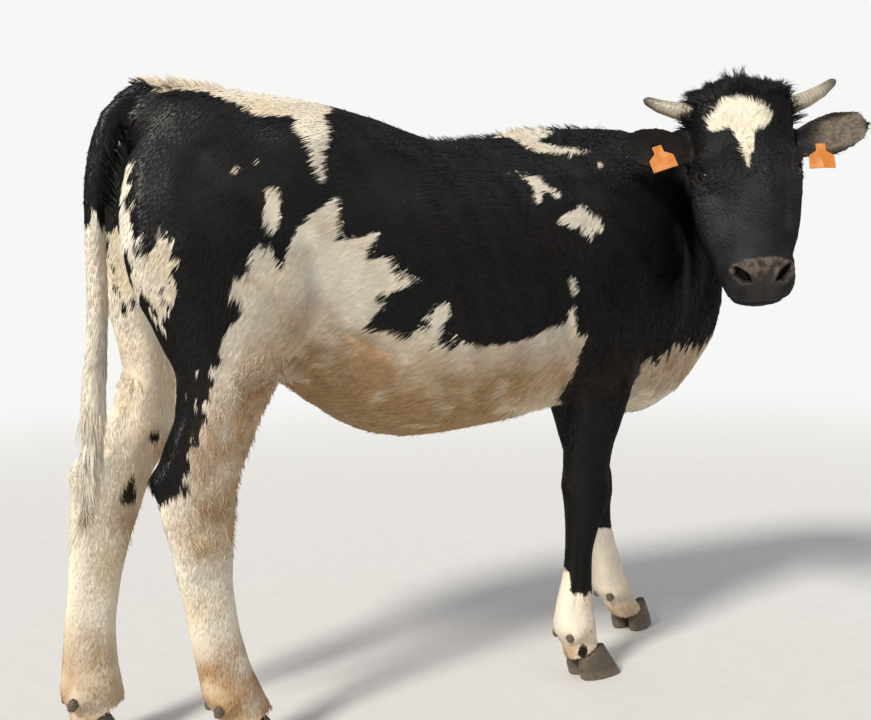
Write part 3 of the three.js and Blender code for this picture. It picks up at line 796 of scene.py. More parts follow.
PATCHES = (
    # belly and brisket
    Patches(Shade.WHITE, (
        ((-340, 0, 570, 255), (0, 0, 555, 262), (190, 0, 575, 255)),
        ((400, 0, 600, 150), (580, -20, 620, 135), (690, 0, 640, 100)),
    )),
    # right flank: a peak over the stifle and a low bay behind the elbow
    Patches(Shade.WHITE, (
        ((-256, -180, 985, 6), (-285, -185, 930, 32), (-320, -200, 860, 85), (-340, -200, 760, 110)),
        ((-300, -200, 850, 70), (-235, -190, 880, 35), (-195, -190, 915, 14)),
        ((-260, -200, 800, 90), (-170, -200, 855, 32), (-135, -200, 835, 12)),
        ((-390, -200, 835, 55), (-412, -200, 885, 16), (-408, -200, 905, 4)),
        ((-400, -200, 820, 50), (-445, -205, 845, 18), (-468, -205, 825, 6)),
        ((150, -200, 690, 50), (235, -200, 740, 22), (242, -200, 785, 4)),
        ((-85, -200, 735, 30), (-62, -200, 788, 10)),
    )),
    Patches(Shade.BLACK, (
        ((-170, -190, 805, 12), (-140, -200, 780, 30), (-105, -200, 768, 18), (-80, -200, 795, 6)),
        ((-125, -200, 870, 6), (-118, -200, 835, 12)),
        ((-365, -190, 935, 30), (-373, -200, 866, 4)),
        ((20, -210, 780, 52), (130, -210, 790, 55)),
    )),
    # right thigh and hind leg
    Patches(Shade.WHITE, (
        ((-400, -150, 700, 105), (-415, -130, 600, 105), (-430, -120, 500, 110)),
        ((-480, -60, 720, 85), (-500, -50, 600, 75)),
        ((-490, -120, 380, 125), (-470, -130, 200, 130), (-450, -130, 0, 140)),
    )),
    Patches(Shade.BLACK, (
        ((-530, -200, 770, 62), (-560, -160, 680, 66), (-570, -150, 580, 58), (-565, -140, 515, 33),
         (-575, -125, 475, 4)),
    )),
    Patches(Shade.WHITE, (
        ((-600, -75, 1030, 12), (-618, -100, 970, 16), (-612, -130, 905, 20), (-590, -160, 865, 34),
         (-580, -160, 820, 28), (-575, -145, 775, 6)),
        ((-565, -178, 910, 10), (-562, -180, 895, 10)),
    )),
    # left hind leg, with white on its inner side
    Patches(Shade.WHITE, (
        ((-570, 50, 900, 50), (-540, 70, 760, 80), (-520, 70, 600, 85)),
        ((-570, 110, 500, 110), (-620, 110, 330, 120), (-650, 110, 0, 150)),
    )),
    Patches(Shade.BLACK, (
        ((-586, 45, 850, 12),),
        ((-575, 45, 812, 13),),
        ((-595, 60, 735, 14), (-590, 60, 710, 8)),
        ((-525, 55, 570, 13), (-515, 55, 550, 6)),
        ((-570, 60, 490, 10), (-575, 60, 465, 16)),
        ((-545, 60, 475, 10),),
        ((-500, 210, 680, 75), (-530, 200, 560, 55), (-560, 170, 470, 12)),
    )),
    # rump: a band along the top with a tongue down the right side
    Patches(Shade.WHITE, (
        ((-510, -10, 1200, 30), (-420, -35, 1200, 44), (-340, -80, 1170, 64), (-260, -70, 1170, 56)),
        ((-280, -110, 1140, 36), (-283, -155, 1085, 24), (-286, -175, 1050, 15), (-279, -180, 1018, 4)),
        ((-375, -175, 995, 12), (-380, -180, 945, 15)),
        ((-440, -150, 1045, 3), (-430, -155, 1035, 5)),
        ((-402, -160, 1068, 4), (-392, -160, 1050, 5)),
        ((-345, -180, 1020, 5),),
    )),
    # withers and right shoulder
    Patches(Shade.WHITE, (
        ((180, -10, 1160, 24), (240, -40, 1145, 42), (300, -20, 1160, 28)),
        ((240, -80, 1115, 24), (280, -90, 1105, 12), (370, -95, 1105, 6)),
        ((377, -110, 1076, 10),),
        ((135, -145, 1050, 4), (170, -145, 1048, 11), (200, -150, 1032, 17), (185, -165, 1000, 10)),
        ((200, -150, 1030, 14), (240, -155, 1010, 6)),
        ((236, -178, 958, 5), (270, -170, 962, 18), (310, -170, 955, 18), (325, -175, 945, 6)),
        ((275, -170, 995, 8), (290, -170, 960, 22), (298, -180, 918, 5)),
        ((240, -200, 848, 8), (244, -200, 822, 7)),
    )),
    # left side
    Patches(Shade.WHITE, (
        ((-360, 200, 930, 30), (-300, 200, 860, 85), (-170, 200, 790, 80), (20, 210, 745, 50)),
        ((-460, 120, 1110, 20), (-410, 150, 1060, 45), (-375, 180, 980, 26)),
        ((220, 150, 1050, 22), (270, 170, 990, 48), (300, 180, 910, 28)),
        ((50, 170, 1020, 10), (30, 180, 990, 14)),
    )),
    Patches(Shade.BLACK, (
        ((-200, 210, 720, 30), (-160, 210, 700, 18)),
    )),
    # forelegs: black down to the fetlock on the right and to the knee on the left
    Patches(Shade.BLACK, (
        ((375, -170, 740, 105), (365, -130, 560, 95), (330, -120, 330, 85)),
        ((380, 170, 760, 115), (440, 130, 560, 100), (520, 110, 360, 85)),
    )),
    Patches(Shade.WHITE, (
        ((300, -120, 70, 118),),
        ((268, -85, 150, 50), (268, -85, 205, 35)),
        ((560, 100, 100, 170),),
    )),
    Patches(Shade.BLACK, (
        ((312, -135, 195, 16), (310, -135, 168, 6)),
        ((565, 70, 270, 20), (566, 70, 245, 6)),
        ((300, -142, 62, 18),),
    )),
    # tail
    Patches(Shade.WHITE, (
        ((-645, -20, 860, 100), (-650, -24, 700, 100), (-675, -30, 440, 120)),
    )),
    # star on the forehead: Y and Z in the head's axes
    Patches(Shade.WHITE, (
        ((-62, -86, 18), (-28, -70, 32), (18, -82, 24)),
        ((-12, -85, 32), (-12, -118, 17), (-12, -150, 9), (-10, -180, 2)),
    ), on_head=True),
    Patches(Shade.BLACK, (
        ((-2, -147, 5),),
    ), on_head=True),
)
STAINS = (
    ((-300, 0, 550, 100), (-100, 0, 530, 130), (80, 0, 540, 110)),
    ((-350, -140, 780, 30), (-330, -130, 670, 50), (-220, -140, 680, 45)),
    ((-400, -150, 650, 35), (-450, -140, 560, 45), (-480, -140, 450, 45)),
    ((-500, 100, 500, 45), (-550, 100, 420, 35)),
    ((-470, -120, 140, 45), (-440, -120, 80, 55)),
    ((-680, 100, 160, 40), (-660, 100, 80, 50)),
    ((300, -120, 30, 20),),
    ((570, 100, 40, 25),),
)
FLECKED = (
    ((-600, -90, 1020, 30), (-600, -150, 870, 60), (-570, -160, 790, 40)),
    ((-580, 50, 880, 50), (-570, 50, 760, 50)),
    ((520, -100, 660, 50), (680, -60, 700, 50)),
    ((-150, -190, 840, 30), (-60, -200, 760, 40)),
    ((-635, -20, 1000, 30), (-640, -20, 940, 40)),
    ((-500, -150, 720, 30), (-520, -140, 520, 30)),
)




@dataclass(frozen=True)
class Markings:
    """The white on the black coat, the stains on it, and how broken its edges are."""

    reach: float = 0.03
    stain_reach: float = 0.07
    fleck_reach: float = 0.02
    fleck: float = 0.026

    def white(self, at: Places) -> Array:
        """Depth inside the white in metres at each point, negative in the black.

        Args:
            at: The points.

        Returns:
            One depth for each point, within the reach.
        """
        depth = np.full(len(at.points), -self.reach)
        on_head = at.masks["head"] > 0.5
        face = np.where(on_head & (at.head[:, 0] > -0.075) & (np.abs(at.head[:, 1]) < 0.095))[0]
        body = np.where(~on_head)[0]
        for patches in PATCHES:
            rows = face if patches.on_head else body
            coords = at.head[rows][:, 1:] if patches.on_head else at.body[rows]
            pick = np.maximum if patches.shade is Shade.WHITE else np.minimum
            for chain in patches.chains:
                depth[rows] = pick(depth[rows], patches.shade.value * chain_distance(coords, chain))
        rough = 0.006 * noise(at.points, 0.03, 11) + 0.003 * noise(at.points, 0.012, 12)
        broken = noise(at.points * (1.0, 1.0, 0.55), 0.011, 13)
        flecks = self.fleck * self._near(at, FLECKED, self.fleck_reach) * broken
        return np.clip(depth + rough + flecks, -self.reach, self.reach)

    def stain(self, at: Places) -> Array:
        """How strongly dirt and a brown cast colour the white, from 0 to 1.

        Args:
            at: The points.

        Returns:
            One share for each point.
        """
        cloud = 0.75 + 0.45 * noise(at.points, 0.035, 21) + 0.25 * noise(at.points, 0.01, 22)
        low = 0.3 * ease(at.body[:, 2], 0.3, 0.02)
        under = ease(at.body[:, 2], 0.77, 0.62) * (1 - at.masks["fore"]) * (1 - at.masks["hind"])
        near = self._near(at, STAINS, self.stain_reach)
        pale = 0.04 + 0.96 * ease(self.white(at), -0.004, 0.004)
        return np.clip((0.8 * near + low + under) * cloud, 0.0, 1.0) * (1 - at.masks["tail"]) * pale

    def painted_sheen(self, at: Places) -> Array:
        """How much painted sheen greys the black hair, from 0 to 1: a painted highlight, most on the bridge
        of the face and some along the top of the back.

        Args:
            at: The points.

        Returns:
            One share for each point.
        """
        x, _, z = at.head.T
        face = at.masks["head"] * ease(x, -0.105, -0.065) * ease(z, -0.07, -0.2)
        back = 0.5 * (1 - at.masks["head"]) * ease(at.body[:, 2], 0.86, 1.06)
        cloud = 0.7 + 0.45 * noise(at.points, 0.035, 23)
        return np.clip((face + back) * cloud, 0.0, 1.0)

    @staticmethod
    def _near(at: Places, chains: tuple[Chain, ...], soft: float) -> Array:
        """One inside any of the chains, falling to zero over the soft distance.

        Args:
            at: The points.
            chains: Strokes in the body's axes.
            soft: The distance in metres.

        Returns:
            One share for each point.
        """
        depth = np.full(len(at.points), -1.0)
        for chain in chains:
            depth = np.maximum(depth, chain_distance(at.body, chain))
        return ease(depth, -soft, 0.0)


# ---------------- bones, muscles and folds
@dataclass(frozen=True)
class Relief:
    """Soft swellings and long creases laid on a surface.

    A swelling is a place, its reach three ways and its height, with hollows below zero. A crease or ridge is
    a line, its width and its height. Each is given on the left and repeated on the right, or lies in the
    middle plane. All are in millimetres.
    """

    swells: Chain
    lines: tuple[tuple[Chain, float, float], ...]

    def lift(self, points: Array) -> Array:
        """How far each point is raised.

        Args:
            points: Places in the axes of the tables.

        Returns:
            The height added at each point, in metres.
        """
        total = np.zeros(len(points))
        for side in (LEFT, RIGHT):
            for swell in self.swells:
                x, y, z, rx, ry, rz, height = (value / 1000.0 for value in swell)
                if side == LEFT or y:
                    away = (points - (x, side * y, z)) / (rx, ry, rz)
                    total += height * np.exp(-np.sum(away**2, axis=1))
            for line, width, height in self.lines:
                chain = tuple((x, side * y, z, 0) for x, y, z in line)
                total += height / 1000.0 * bell(chain_distance(points, chain), width / 1000.0)
        return total


BODY_RELIEF = Relief(
    swells=(
        (-250, 155, 1105, 50, 45, 35, 9), (-130, 170, 1035, 60, 50, 50, -10), (-570, 65, 1095, 35, 30, 30, 6),
        (-420, 170, 985, 60, 50, 60, 6), (-340, 170, 1040, 40, 50, 35, -4), (-340, 190, 775, 50, 40, 60, 6),
        (-250, 150, 655, 70, 60, 50, 5), (340, 190, 850, 60, 50, 70, 6), (610, 140, 850, 50, 45, 50, 8),
        (285, 170, 715, 30, 35, 28, 7), (190, 170, 1000, 50, 50, 60, -5), (330, 80, 1130, 80, 30, 30, 4),
    ),
    lines=(
        (((-400, 45, 1155), (-470, 55, 1128), (-530, 58, 1108), (-575, 50, 1070)), 14, -14),
        (((-490, 140, 1070), (-535, 165, 950), (-535, 175, 800)), 13, -4.5),
        (((-400, 190, 900), (-460, 200, 800), (-470, 180, 700)), 16, -3.5),
        (((-360, 160, 715), (-290, 160, 735), (-220, 160, 737), (-150, 170, 705)), 17, -5),
        (((330, 90, 1090), (380, 160, 960), (450, 190, 840)), 18, 4.5),
        (((210, 190, 960), (215, 200, 860), (250, 200, 740)), 16, -6),
        (((500, 170, 860), (440, 185, 760), (380, 180, 700)), 14, -4),
    ),
)
HIND_RELIEF = Relief(
    swells=(
        (-590, 105, 515, 22, 30, 30, 10), (-520, 145, 600, 22, 22, 55, -7), (-520, 62, 600, 22, 22, 55, -7),
        (-500, 142, 475, 30, 22, 30, 4), (-495, 105, 300, 60, 50, 80, -4), (-460, 105, 122, 60, 50, 20, 5),
        (-430, 105, 80, 60, 50, 14, -4), (-425, 105, 500, 22, 35, 40, -4),
    ),
    lines=((((-545, 140, 440), (-530, 132, 300), (-505, 130, 160)), 7, -3),),
)
FORE_RELIEF = Relief(
    swells=(
        (360, 100, 395, 50, 50, 32, 5), (283, 100, 415, 16, 25, 22, 7), (320, 100, 270, 60, 50, 70, -4),
        (300, 100, 122, 60, 50, 20, 5), (320, 100, 78, 60, 50, 14, -4), (340, 148, 560, 40, 20, 60, 3),
    ),
    lines=((((300, 132, 350), (298, 128, 240), (285, 130, 160)), 7, -3),),
)
HEAD_RELIEF = Relief(
    swells=(
        (-16, 84, -152, 30, 24, 16, 12.5), (-34, 80, -224, 25, 22, 18, -7), (-30, 64, -275, 35, 26, 50, -11),
        (4, 0, -280, 30, 30, 90, 5.5), (-68, 104, -185, 30, 26, 40, 9), (-65, 98, -125, 30, 25, 26, -5),
        (-110, 100, -250, 45, 30, 60, 8), (-30, 46, -385, 22, 20, 20, 5), (-50, 74, -342, 45, 30, 18, -6.5),
        (-62, 50, -420, 20, 30, 14, 3), (-105, 0, -436, 20, 30, 14, 3.5), (-20, 0, 6, 40, 45, 22, 7),
        (-40, 90, -40, 26, 20, 26, 5), (4, 28, -110, 30, 20, 40, 2),
    ),
    lines=(
        (((-60, 94, -222), (-70, 88, -262), (-78, 80, -310)), 8, 6),
        (((-36, 72, -212), (-34, 56, -250), (-36, 46, -290)), 5, -1.8),
        (((-45, 62, -365), (-62, 66, -385), (-75, 64, -402)), 5, -1.6),
        (((-110, 88, -300), (-130, 80, -340), (-132, 64, -385)), 8, -3),
    ),
)


@dataclass(frozen=True)
class Leg:
    """How a pair of legs is set: right and left foot swing forwards and spread from their pivots."""

    relief: Relief
    pivots: tuple[float, float]
    swings: tuple[float, float]
    spreads: tuple[float, float]

    def straight(self, body: Array) -> Array:
        """Points in the body's axes as if both legs stood straight.

        Args:
            body: Points in the body's axes.

        Returns:
            The same points with the swing and the spread taken out.
        """
        made = body.copy()
        for k, mine in enumerate((body[:, 1] < 0, body[:, 1] >= 0)):
            share = np.clip((self.pivots[k] - body[mine, 2]) / self.pivots[k], 0.0, 1.0)
            made[mine, 0] -= self.swings[k] * share
            made[mine, 1] -= self.spreads[k] * share
        return made


HIND = Leg(HIND_RELIEF, (0.76, 0.8), (0.0, -0.24), (0.0, -0.04))
FORE = Leg(FORE_RELIEF, (0.7, 0.9), (0.0, 0.295), (0.0, 0.0))


# ---------------- the skin
@dataclass
class Eyeball:
    """One eye in the head's axes: where it is, how large, and how its opening lies."""

    side: float
    radius: float = 0.0195
    at: Triple = (-0.041, 0.0845, -0.184)
    gaze: Triple = (0.68, 0.73, 0.02)
    slit: Triple = (-0.72, 0.0, 0.69)
    half_length: float = 0.84
    half_height: float = 0.56
    drop: float = 0.06
    lid: float = 0.0028
    skin_reach: float = 0.06
    fold_depth: float = 0.003

    def centre(self) -> Array:
        """The middle of the ball."""
        return np.array(self.at) * (1.0, self.side, 1.0)

    def axes(self) -> tuple[Array, Array, Array]:
        """The gaze, the line from the inner to the outer corner, and the line up across the lids.

        Returns:
            Three unit vectors in the head's axes.
        """
        gaze = unit(np.array(self.gaze) * (1.0, self.side, 1.0))
        slit = np.array(self.slit)
        slit = unit(slit - gaze * (slit @ gaze))
        up = np.cross(gaze, slit)
        return gaze, slit, up * np.sign(up[2] + up[0])

    def open_lids(self, head: Array) -> tuple[Array, Array, Array]:
        """Moves skin points near the eye to make its lids.

        Args:
            head: Points in the head's axes.

        Returns:
            The moved points, how far each is inside the opening, and a mask of the lids' folds.
        """
        centre = self.centre()
        gaze, slit, up = self.axes()
        away = head - centre
        reach = lengths(away)
        n = away / np.maximum(reach, 1e-9)[:, None]
        facing, a, b = n @ gaze, n @ slit, n @ up
        near = (reach < self.skin_reach) & (facing > 0.05)
        bulge = np.sqrt(np.clip(1.0 - np.clip(a / self.half_length, -1, 1) ** 2, 0.0, 1.0)) ** 0.75
        height = np.where(b > -self.drop, 1.08, 0.86) * self.half_height
        shift = b + self.drop
        rho = np.sqrt((a / self.half_length) ** 2 + (shift / np.maximum(height, 1e-6)) ** 2)
        rho /= np.maximum(0.55 + 0.45 * bulge, 0.3)
        # the rim of the opening is drawn onto one line, inside it the skin drops behind the ball
        snap = near & (np.abs(rho - 1.0) < 0.12)
        scale = np.where(snap, np.where(rho >= 1.0, 1.0, 0.97) / np.maximum(rho, 1e-6), 1.0)
        across, high = (a * scale)[:, None] * slit, (shift * scale - self.drop)[:, None] * up
        placed = unit(facing[:, None] * gaze + across + high)
        inside = near & (rho < 1.0)
        goal = np.where(inside, np.where(rho > 0.86, self.radius - 0.0015, self.radius * 0.7), reach)
        lifted = np.maximum(reach, self.radius + self.lid) + 0.001 * bell(rho - 1.08, 0.1)
        upper = bell(rho - 1.55, 0.13) * ease(b, 0.0, 0.3)
        lower = 0.7 * bell(rho - 1.5, 0.12) * ease(-b, 0.05, 0.35)
        folds = np.where(near, upper + lower + 0.45 * bell(rho - 2.15, 0.15), 0.0)
        lifted = lifted - self.fold_depth * folds
        goal = np.where(near & ~inside, reach + (lifted - reach) * ease(facing, 0.1, 0.35), goal)
        moved = centre + placed * goal[:, None]
        return np.where(near[:, None], moved, head), np.where(inside, 1.0, 0.0), folds


@dataclass
class Face:
    """The bare and creased parts of the head, in the head's axes."""

    nostril: Chain = ((27, -411, 3), (37, -404, 8.5), (47, -395, 8), (54, -384, 3.5))
    nostril_depth: float = 0.02
    inward: Triple = (-0.85, -0.35, 0.4)
    mouth: Chain = ((-72, -450, 0), (-88, -428, 0), (-106, -404, 0), (-126, -376, 0), (-140, -350, 0))
    pad: Chain = ((-30, -395, 26), (30, -395, 26))
    pad_low: Chain = ((-18, -425, 18), (18, -425, 18))

    def _nostril(self, head: Array, side: float, wider: float = 0.0) -> Array:
        """The depth of each point inside one nostril, or inside a wider outline of it."""
        return chain_distance(head[:, 1:], tuple((side * y, z, r + wider) for y, z, r in self.nostril))

    def pad_mask(self, head: Array) -> Array:
        """One on the bare nose pad and around the nostrils.

        Args:
            head: Points in the head's axes.

        Returns:
            One share for each point.
        """
        depth = chain_distance(head[:, 1:], self.pad)
        lower = 0.8 * ease(chain_distance(head[:, 1:], self.pad_low), -0.01, 0.012)
        for side in (RIGHT, LEFT):
            depth = np.maximum(depth, self._nostril(head, side, wider=6))
        rough = 0.0015 * noise(head, 0.008, 31)
        return np.maximum(ease(depth + rough, -0.004, 0.001), lower) * ease(head[:, 0], -0.085, -0.068)

    def shape(self, head: Array, normals: Array) -> tuple[Array, dict[str, Array]]:
        """Adds nostrils, mouth and the furrows of the nose pad.

        Args:
            head: Points in the head's axes.
            normals: Their normals in the same axes.

        Returns:
            The moved points, and masks by name: bare, crease for painted shade, and hole.
        """
        pad = self.pad_mask(head)
        moved = head.copy()
        front = ease(head[:, 0], -0.085, -0.065)
        hole = np.zeros(len(head))
        swell = np.zeros(len(head))
        for side in (RIGHT, LEFT):
            depth = self._nostril(head, side)
            inside = ease(depth, -0.0015, 0.0045) * front
            hole = np.maximum(hole, inside)
            swell += bell(depth + 0.004, 0.0032) * front * (1 - inside)
            moved += inside[:, None] * np.array(self.inward) * (1, side, 1) * self.nostril_depth
        furrow = bell(head[:, 1], 0.0022) * ease(head[:, 2], -0.392, -0.402) * front
        line = -chain_distance(head[:, [0, 2]], self.mouth)
        slot = bell(line, 0.0026) * ease(head[:, 2], -0.33, -0.36)
        lip = bell(line - 0.009, 0.006) * ease(head[:, 2], -0.34, -0.38)
        push = 0.003 * swell - 0.0014 * furrow - 0.005 * slot + 0.0016 * lip
        push += pad * 0.0006 * noise(head, 0.005, 32)
        moved += normals * push[:, None]
        # painted shade: the crease mask darkens the nostrils, the mouth slot and the pad's furrow
        crease = np.clip(hole * 1.2 + 0.85 * slot + 0.3 * furrow, 0.0, 1.0)
        return moved, {"bare": pad, "crease": crease, "hole": hole}


@dataclass
class Skin:
    """The hide in one piece, in place of the flesh nodes."""

    layout: Layout
    markings: Markings
    grow: float = 0.0006
    ear_grow: float = 0.003
    voxel: float = 0.0038
    wanted: int = 128_000
    # each round of dividing: edge length, reach round the eyes, and how high and how far back on the muzzle
    finer: Chain = ((0.0034, 0.042, -0.365, -0.16), (0.0019, 0.034, -0.357, -0.085))
    nodes: tuple[str, ...] = (
        "head", "neck", "trunk", "tail_dock", "tail_middle", "tail_switch", "ear_left", "ear_right",
        "leg_fore_left", "leg_fore_right", "leg_hind_left", "leg_hind_right",
    )
    filled: tuple[str, ...] = ("eye_left", "eye_right")
    depths: tuple[tuple[str, float], ...] = (
        ("fore", 0.002), ("hind", 0.0022), ("head", 0.0018), ("ear", 0.001), ("muzzle", 0.0003))
    face: Face = field(default_factory=Face)
    eyes: tuple[Eyeball, Eyeball] = field(default_factory=lambda: (Eyeball(RIGHT), Eyeball(LEFT)))
    buttons: list[tuple[Array, Array]] = field(default_factory=list)

    def build(self, nodes: dict[str, Object]) -> Object:
        """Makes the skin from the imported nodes.

        Args:
            nodes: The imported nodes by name.

        Returns:
            The finished piece, with the values that its material and the coat read.
        """
        dewclaws = sorted(name for name in nodes if name.startswith("dewclaw"))
        self.buttons = [tuple(np.array(corner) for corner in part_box(name)) for name in dewclaws]
        source = new_object("skin_source", self._joined(nodes))
        mesh = through_modifier(source, "REMESH", mode="VOXEL", voxel_size=self.voxel)
        self._smooth(mesh)
        thick = new_object("skin_thick", mesh)
        group = thick.vertex_groups.new(name="plain")
        at = Places(self.layout, mesh_points(mesh))
        fine = np.maximum(at.masks["head"], at.masks["ear"]) > 0.3
        group.add(np.where(~fine)[0].tolist(), 1.0, "REPLACE")
        group.add(np.where(fine)[0].tolist(), 0.35, "REPLACE")
        ratio = self.wanted / (2.0 * len(mesh.polygons))
        mesh = through_modifier(thick, "DECIMATE", ratio=ratio, vertex_group="plain",
                                use_collapse_triangulate=True)
        relax(mesh, np.ones(len(mesh.vertices)), 3)
        self._refine(mesh)
        self._sculpt(mesh)
        return finish_piece(new_object("skin", mesh), "coat_black", SkinFinish().material(), *self.nodes)

    def _joined(self, nodes: dict[str, Object]) -> Mesh:
        """All the flesh in one mesh, each node grown a little so that the cuts close.

        Args:
            nodes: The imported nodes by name.

        Returns:
            A new mesh of closed shells that cross.
        """
        whole = bmesh.new()
        for name in self.nodes + self.filled:
            grow = self.ear_grow if name.startswith("ear") else self.grow
            copy = nodes[name].data.copy()
            with editing(copy) as part:
                bmesh.ops.remove_doubles(part, verts=part.verts, dist=1e-5)
                bmesh.ops.recalc_face_normals(part, faces=part.faces)
                part.normal_update()
                for vertex in part.verts:
                    vertex.co += vertex.normal * grow
            whole.from_mesh(copy)
            bpy.data.meshes.remove(copy)
        joined = bpy.data.meshes.new("flesh")
        whole.to_mesh(joined)
        whole.free()
        return joined

    def _smooth(self, mesh: Mesh) -> None:
        """Takes the facets out of the flesh, most on the trunk and least on the head.

        Args:
            mesh: The mesh that is changed.
        """
        at = Places(self.layout, mesh_points(mesh))
        z = at.body[:, 2]
        thin = np.maximum(at.masks["ear"], at.masks["tail"] * 0.9)
        legs = np.maximum(at.masks["fore"], at.masks["hind"]) * ease(z, 0.75, 0.55)
        foot = ease(z, 0.16, 0.12)
        sturdy = np.clip(1.0 - thin - 0.88 * legs - 0.85 * at.masks["head"], 0.03, 1.0)
        relax(mesh, 1.0 - 0.6 * np.maximum(at.masks["ear"], foot), 2)
        relax(mesh, sturdy * (1 - 0.8 * foot), 34)

    def _refine(self, mesh: Mesh) -> None:
        """Divides the faces round the eyes, nostrils and mouth, twice at the finest places.

        Args:
            mesh: The mesh that is changed.
        """
        for fine, reach, high, back in self.finer:
            with editing(mesh) as work:
                work.edges.ensure_lookup_table()
                middles = np.array([(edge.verts[0].co + edge.verts[1].co) / 2 for edge in work.edges])
                long = np.array([edge.calc_length() for edge in work.edges]) > fine
                head = self.layout.to_head(middles)
                x, y, z = head.T
                near = (np.abs(y) < 0.085) & (z < high) & (z > -0.47) & (x > back)
                for eye in self.eyes:
                    near |= lengths(head - eye.centre()) < reach
                chosen = [work.edges[i] for i in np.where(near & long)[0]]
                bmesh.ops.subdivide_edges(work, edges=chosen, cuts=1, use_grid_fill=True)
                bmesh.ops.triangulate(work, faces=work.faces)
            at = Places(self.layout, mesh_points(mesh))
            weight = ease(at.head[:, 2], -0.34, -0.37) * at.masks["head"]
            for eye in self.eyes:
                weight = np.maximum(weight, ease(lengths(at.head - eye.centre()), 0.06, 0.045))
            relax(mesh, weight, 3)

    def coat_depth(self, at: Places) -> Array:
        """How deep the skin lies under the tips of the coat, in metres.

        Args:
            at: The points of the skin.

        Returns:
            One depth for each point.
        """
        depth = np.full(len(at.points), 0.005)
        for name, value in self.depths:
            depth += (value - depth) * at.masks[name]
        tail = 0.0045 + 0.009 * ease(at.body[:, 2], 0.66, 0.58)
        return depth + (tail - depth) * at.masks["tail"]

    def _sculpt(self, mesh: Mesh) -> None:
        """Draws the skin in under the coat, models its details and stores what materials and coat read.

        Args:
            mesh: The smoothed skin, which is changed.
        """
        at = Places(self.layout, mesh_points(mesh))
        normals = mesh_normals(mesh)
        x, y, z = at.body.T
        depth = self.coat_depth(at)
        side = ease(np.abs(y), 0.1, 0.15)
        ribs = np.sin(math.tau * (x + 0.25 * z) / 0.062) * ease(x, -0.2, -0.1) * ease(x, 0.24, 0.14)
        ribs = ribs * side * ease(z, 0.7, 0.8) * ease(z, 1.06, 0.98) * (1 - at.masks["head"])
        bend = ease(-y, 0.02, 0.1) * at.masks["neck"] * ease(z, 0.86, 0.96)
        folds = np.sin(math.tau * ((x - 0.8 * y) / 0.046 + 0.6 * noise(at.points, 0.08, 41))) * bend
        off_head = 1 - at.masks["head"]
        lumps = 0.0015 * noise(at.points, 0.055, 42) * off_head * (1 - at.masks["tail"])
        form = BODY_RELIEF.lift(at.body) * off_head * (1 - at.masks["tail"])
        for name, leg in (("hind", HIND), ("fore", FORE)):
            form += leg.relief.lift(leg.straight(at.body)) * (z < 0.68) * (at.masks[name] > 0)
        form += HEAD_RELIEF.lift(at.head) * at.masks["head"] * (1 - at.masks["ear"])
        for low, high in self.buttons:
            away = lengths(at.points - 0.5 * (low + high) - (0.01, 0.0, 0.004))
            form += 0.008 * bell(away, 0.017)
        points = at.points + normals * (-depth + 0.001 * ribs + 0.0022 * folds + lumps + form)[:, None]
        head = self.layout.to_head(points)
        near = at.masks["head"] > 0.02
        shaped, masks = self.face.shape(head[near], self.layout.turned(normals[near]))
        full = {name: np.zeros(len(points)) for name in ("bare", "crease", "hole", "open", "fold")}
        for name, values in masks.items():
            full[name][near] = values
        for eye in self.eyes:
            shaped, opened, fold = eye.open_lids(shaped)
            full["open"][near] = np.maximum(full["open"][near], opened)
            full["fold"][near] = np.maximum(full["fold"][near], fold)
        head[near] = shaped
        points[near] = self.layout.from_head(shaped)
        set_points(mesh, points)
        self._keep(mesh, at, head, full)

    def _keep(self, mesh: Mesh, at: Places, head: Array, full: dict[str, Array]) -> None:
        """Stores the masks and markings on the mesh.

        Args:
            mesh: The finished skin.
            at: What was known of its points before they were moved.
            head: Its points now, in the head's axes.
            full: The masks of the face and lids by name.
        """
        facing = self.layout.turned(mesh_normals(mesh))[:, 0]
        y, z, ear = head[:, 1], head[:, 2], at.masks["ear"]
        across = np.abs(z + 0.111 - 0.014 * ((y - 0.082) / 0.172) ** 2)
        inner = ear * ease(facing, 0.05, 0.45) * ease(across, 0.042, 0.026) * ease(y, 0.252, 0.236)
        # the right ear's inner side gets only a trace of the pale inner colour and stays dark
        inner = np.where(y > 0, inner * ease(y, 0.125, 0.175), 0.05 * ear)
        # painted shade: the crease mask also darkens the skin inside the eye openings and along the lids'
        # folds
        crease = np.clip(full["crease"] + full["open"] + 0.4 * full["fold"], 0.0, 1.0)
        bald = np.clip(full["bare"] * 1.2 + full["hole"] + full["open"] + 1.05 * inner, 0.0, 1.0)
        for eye in self.eyes:
            rim = lengths(head - eye.centre())
            bald = np.maximum(bald, ease(rim, eye.radius + 0.0045, eye.radius + 0.003))
        kept = {
            "white": self.markings.white(at), "stain": self.markings.stain(at), "inner": inner * 0.85,
            "painted_sheen": self.markings.painted_sheen(at), "tone": 0.5 * noise(at.points, 0.02, 51), "bare": full["bare"],
            "crease": crease, "bald": bald, "pale": full["bare"] * ease(z, -0.43, -0.38),
        }
        for name, values in kept.items():
            store(mesh, name, values)


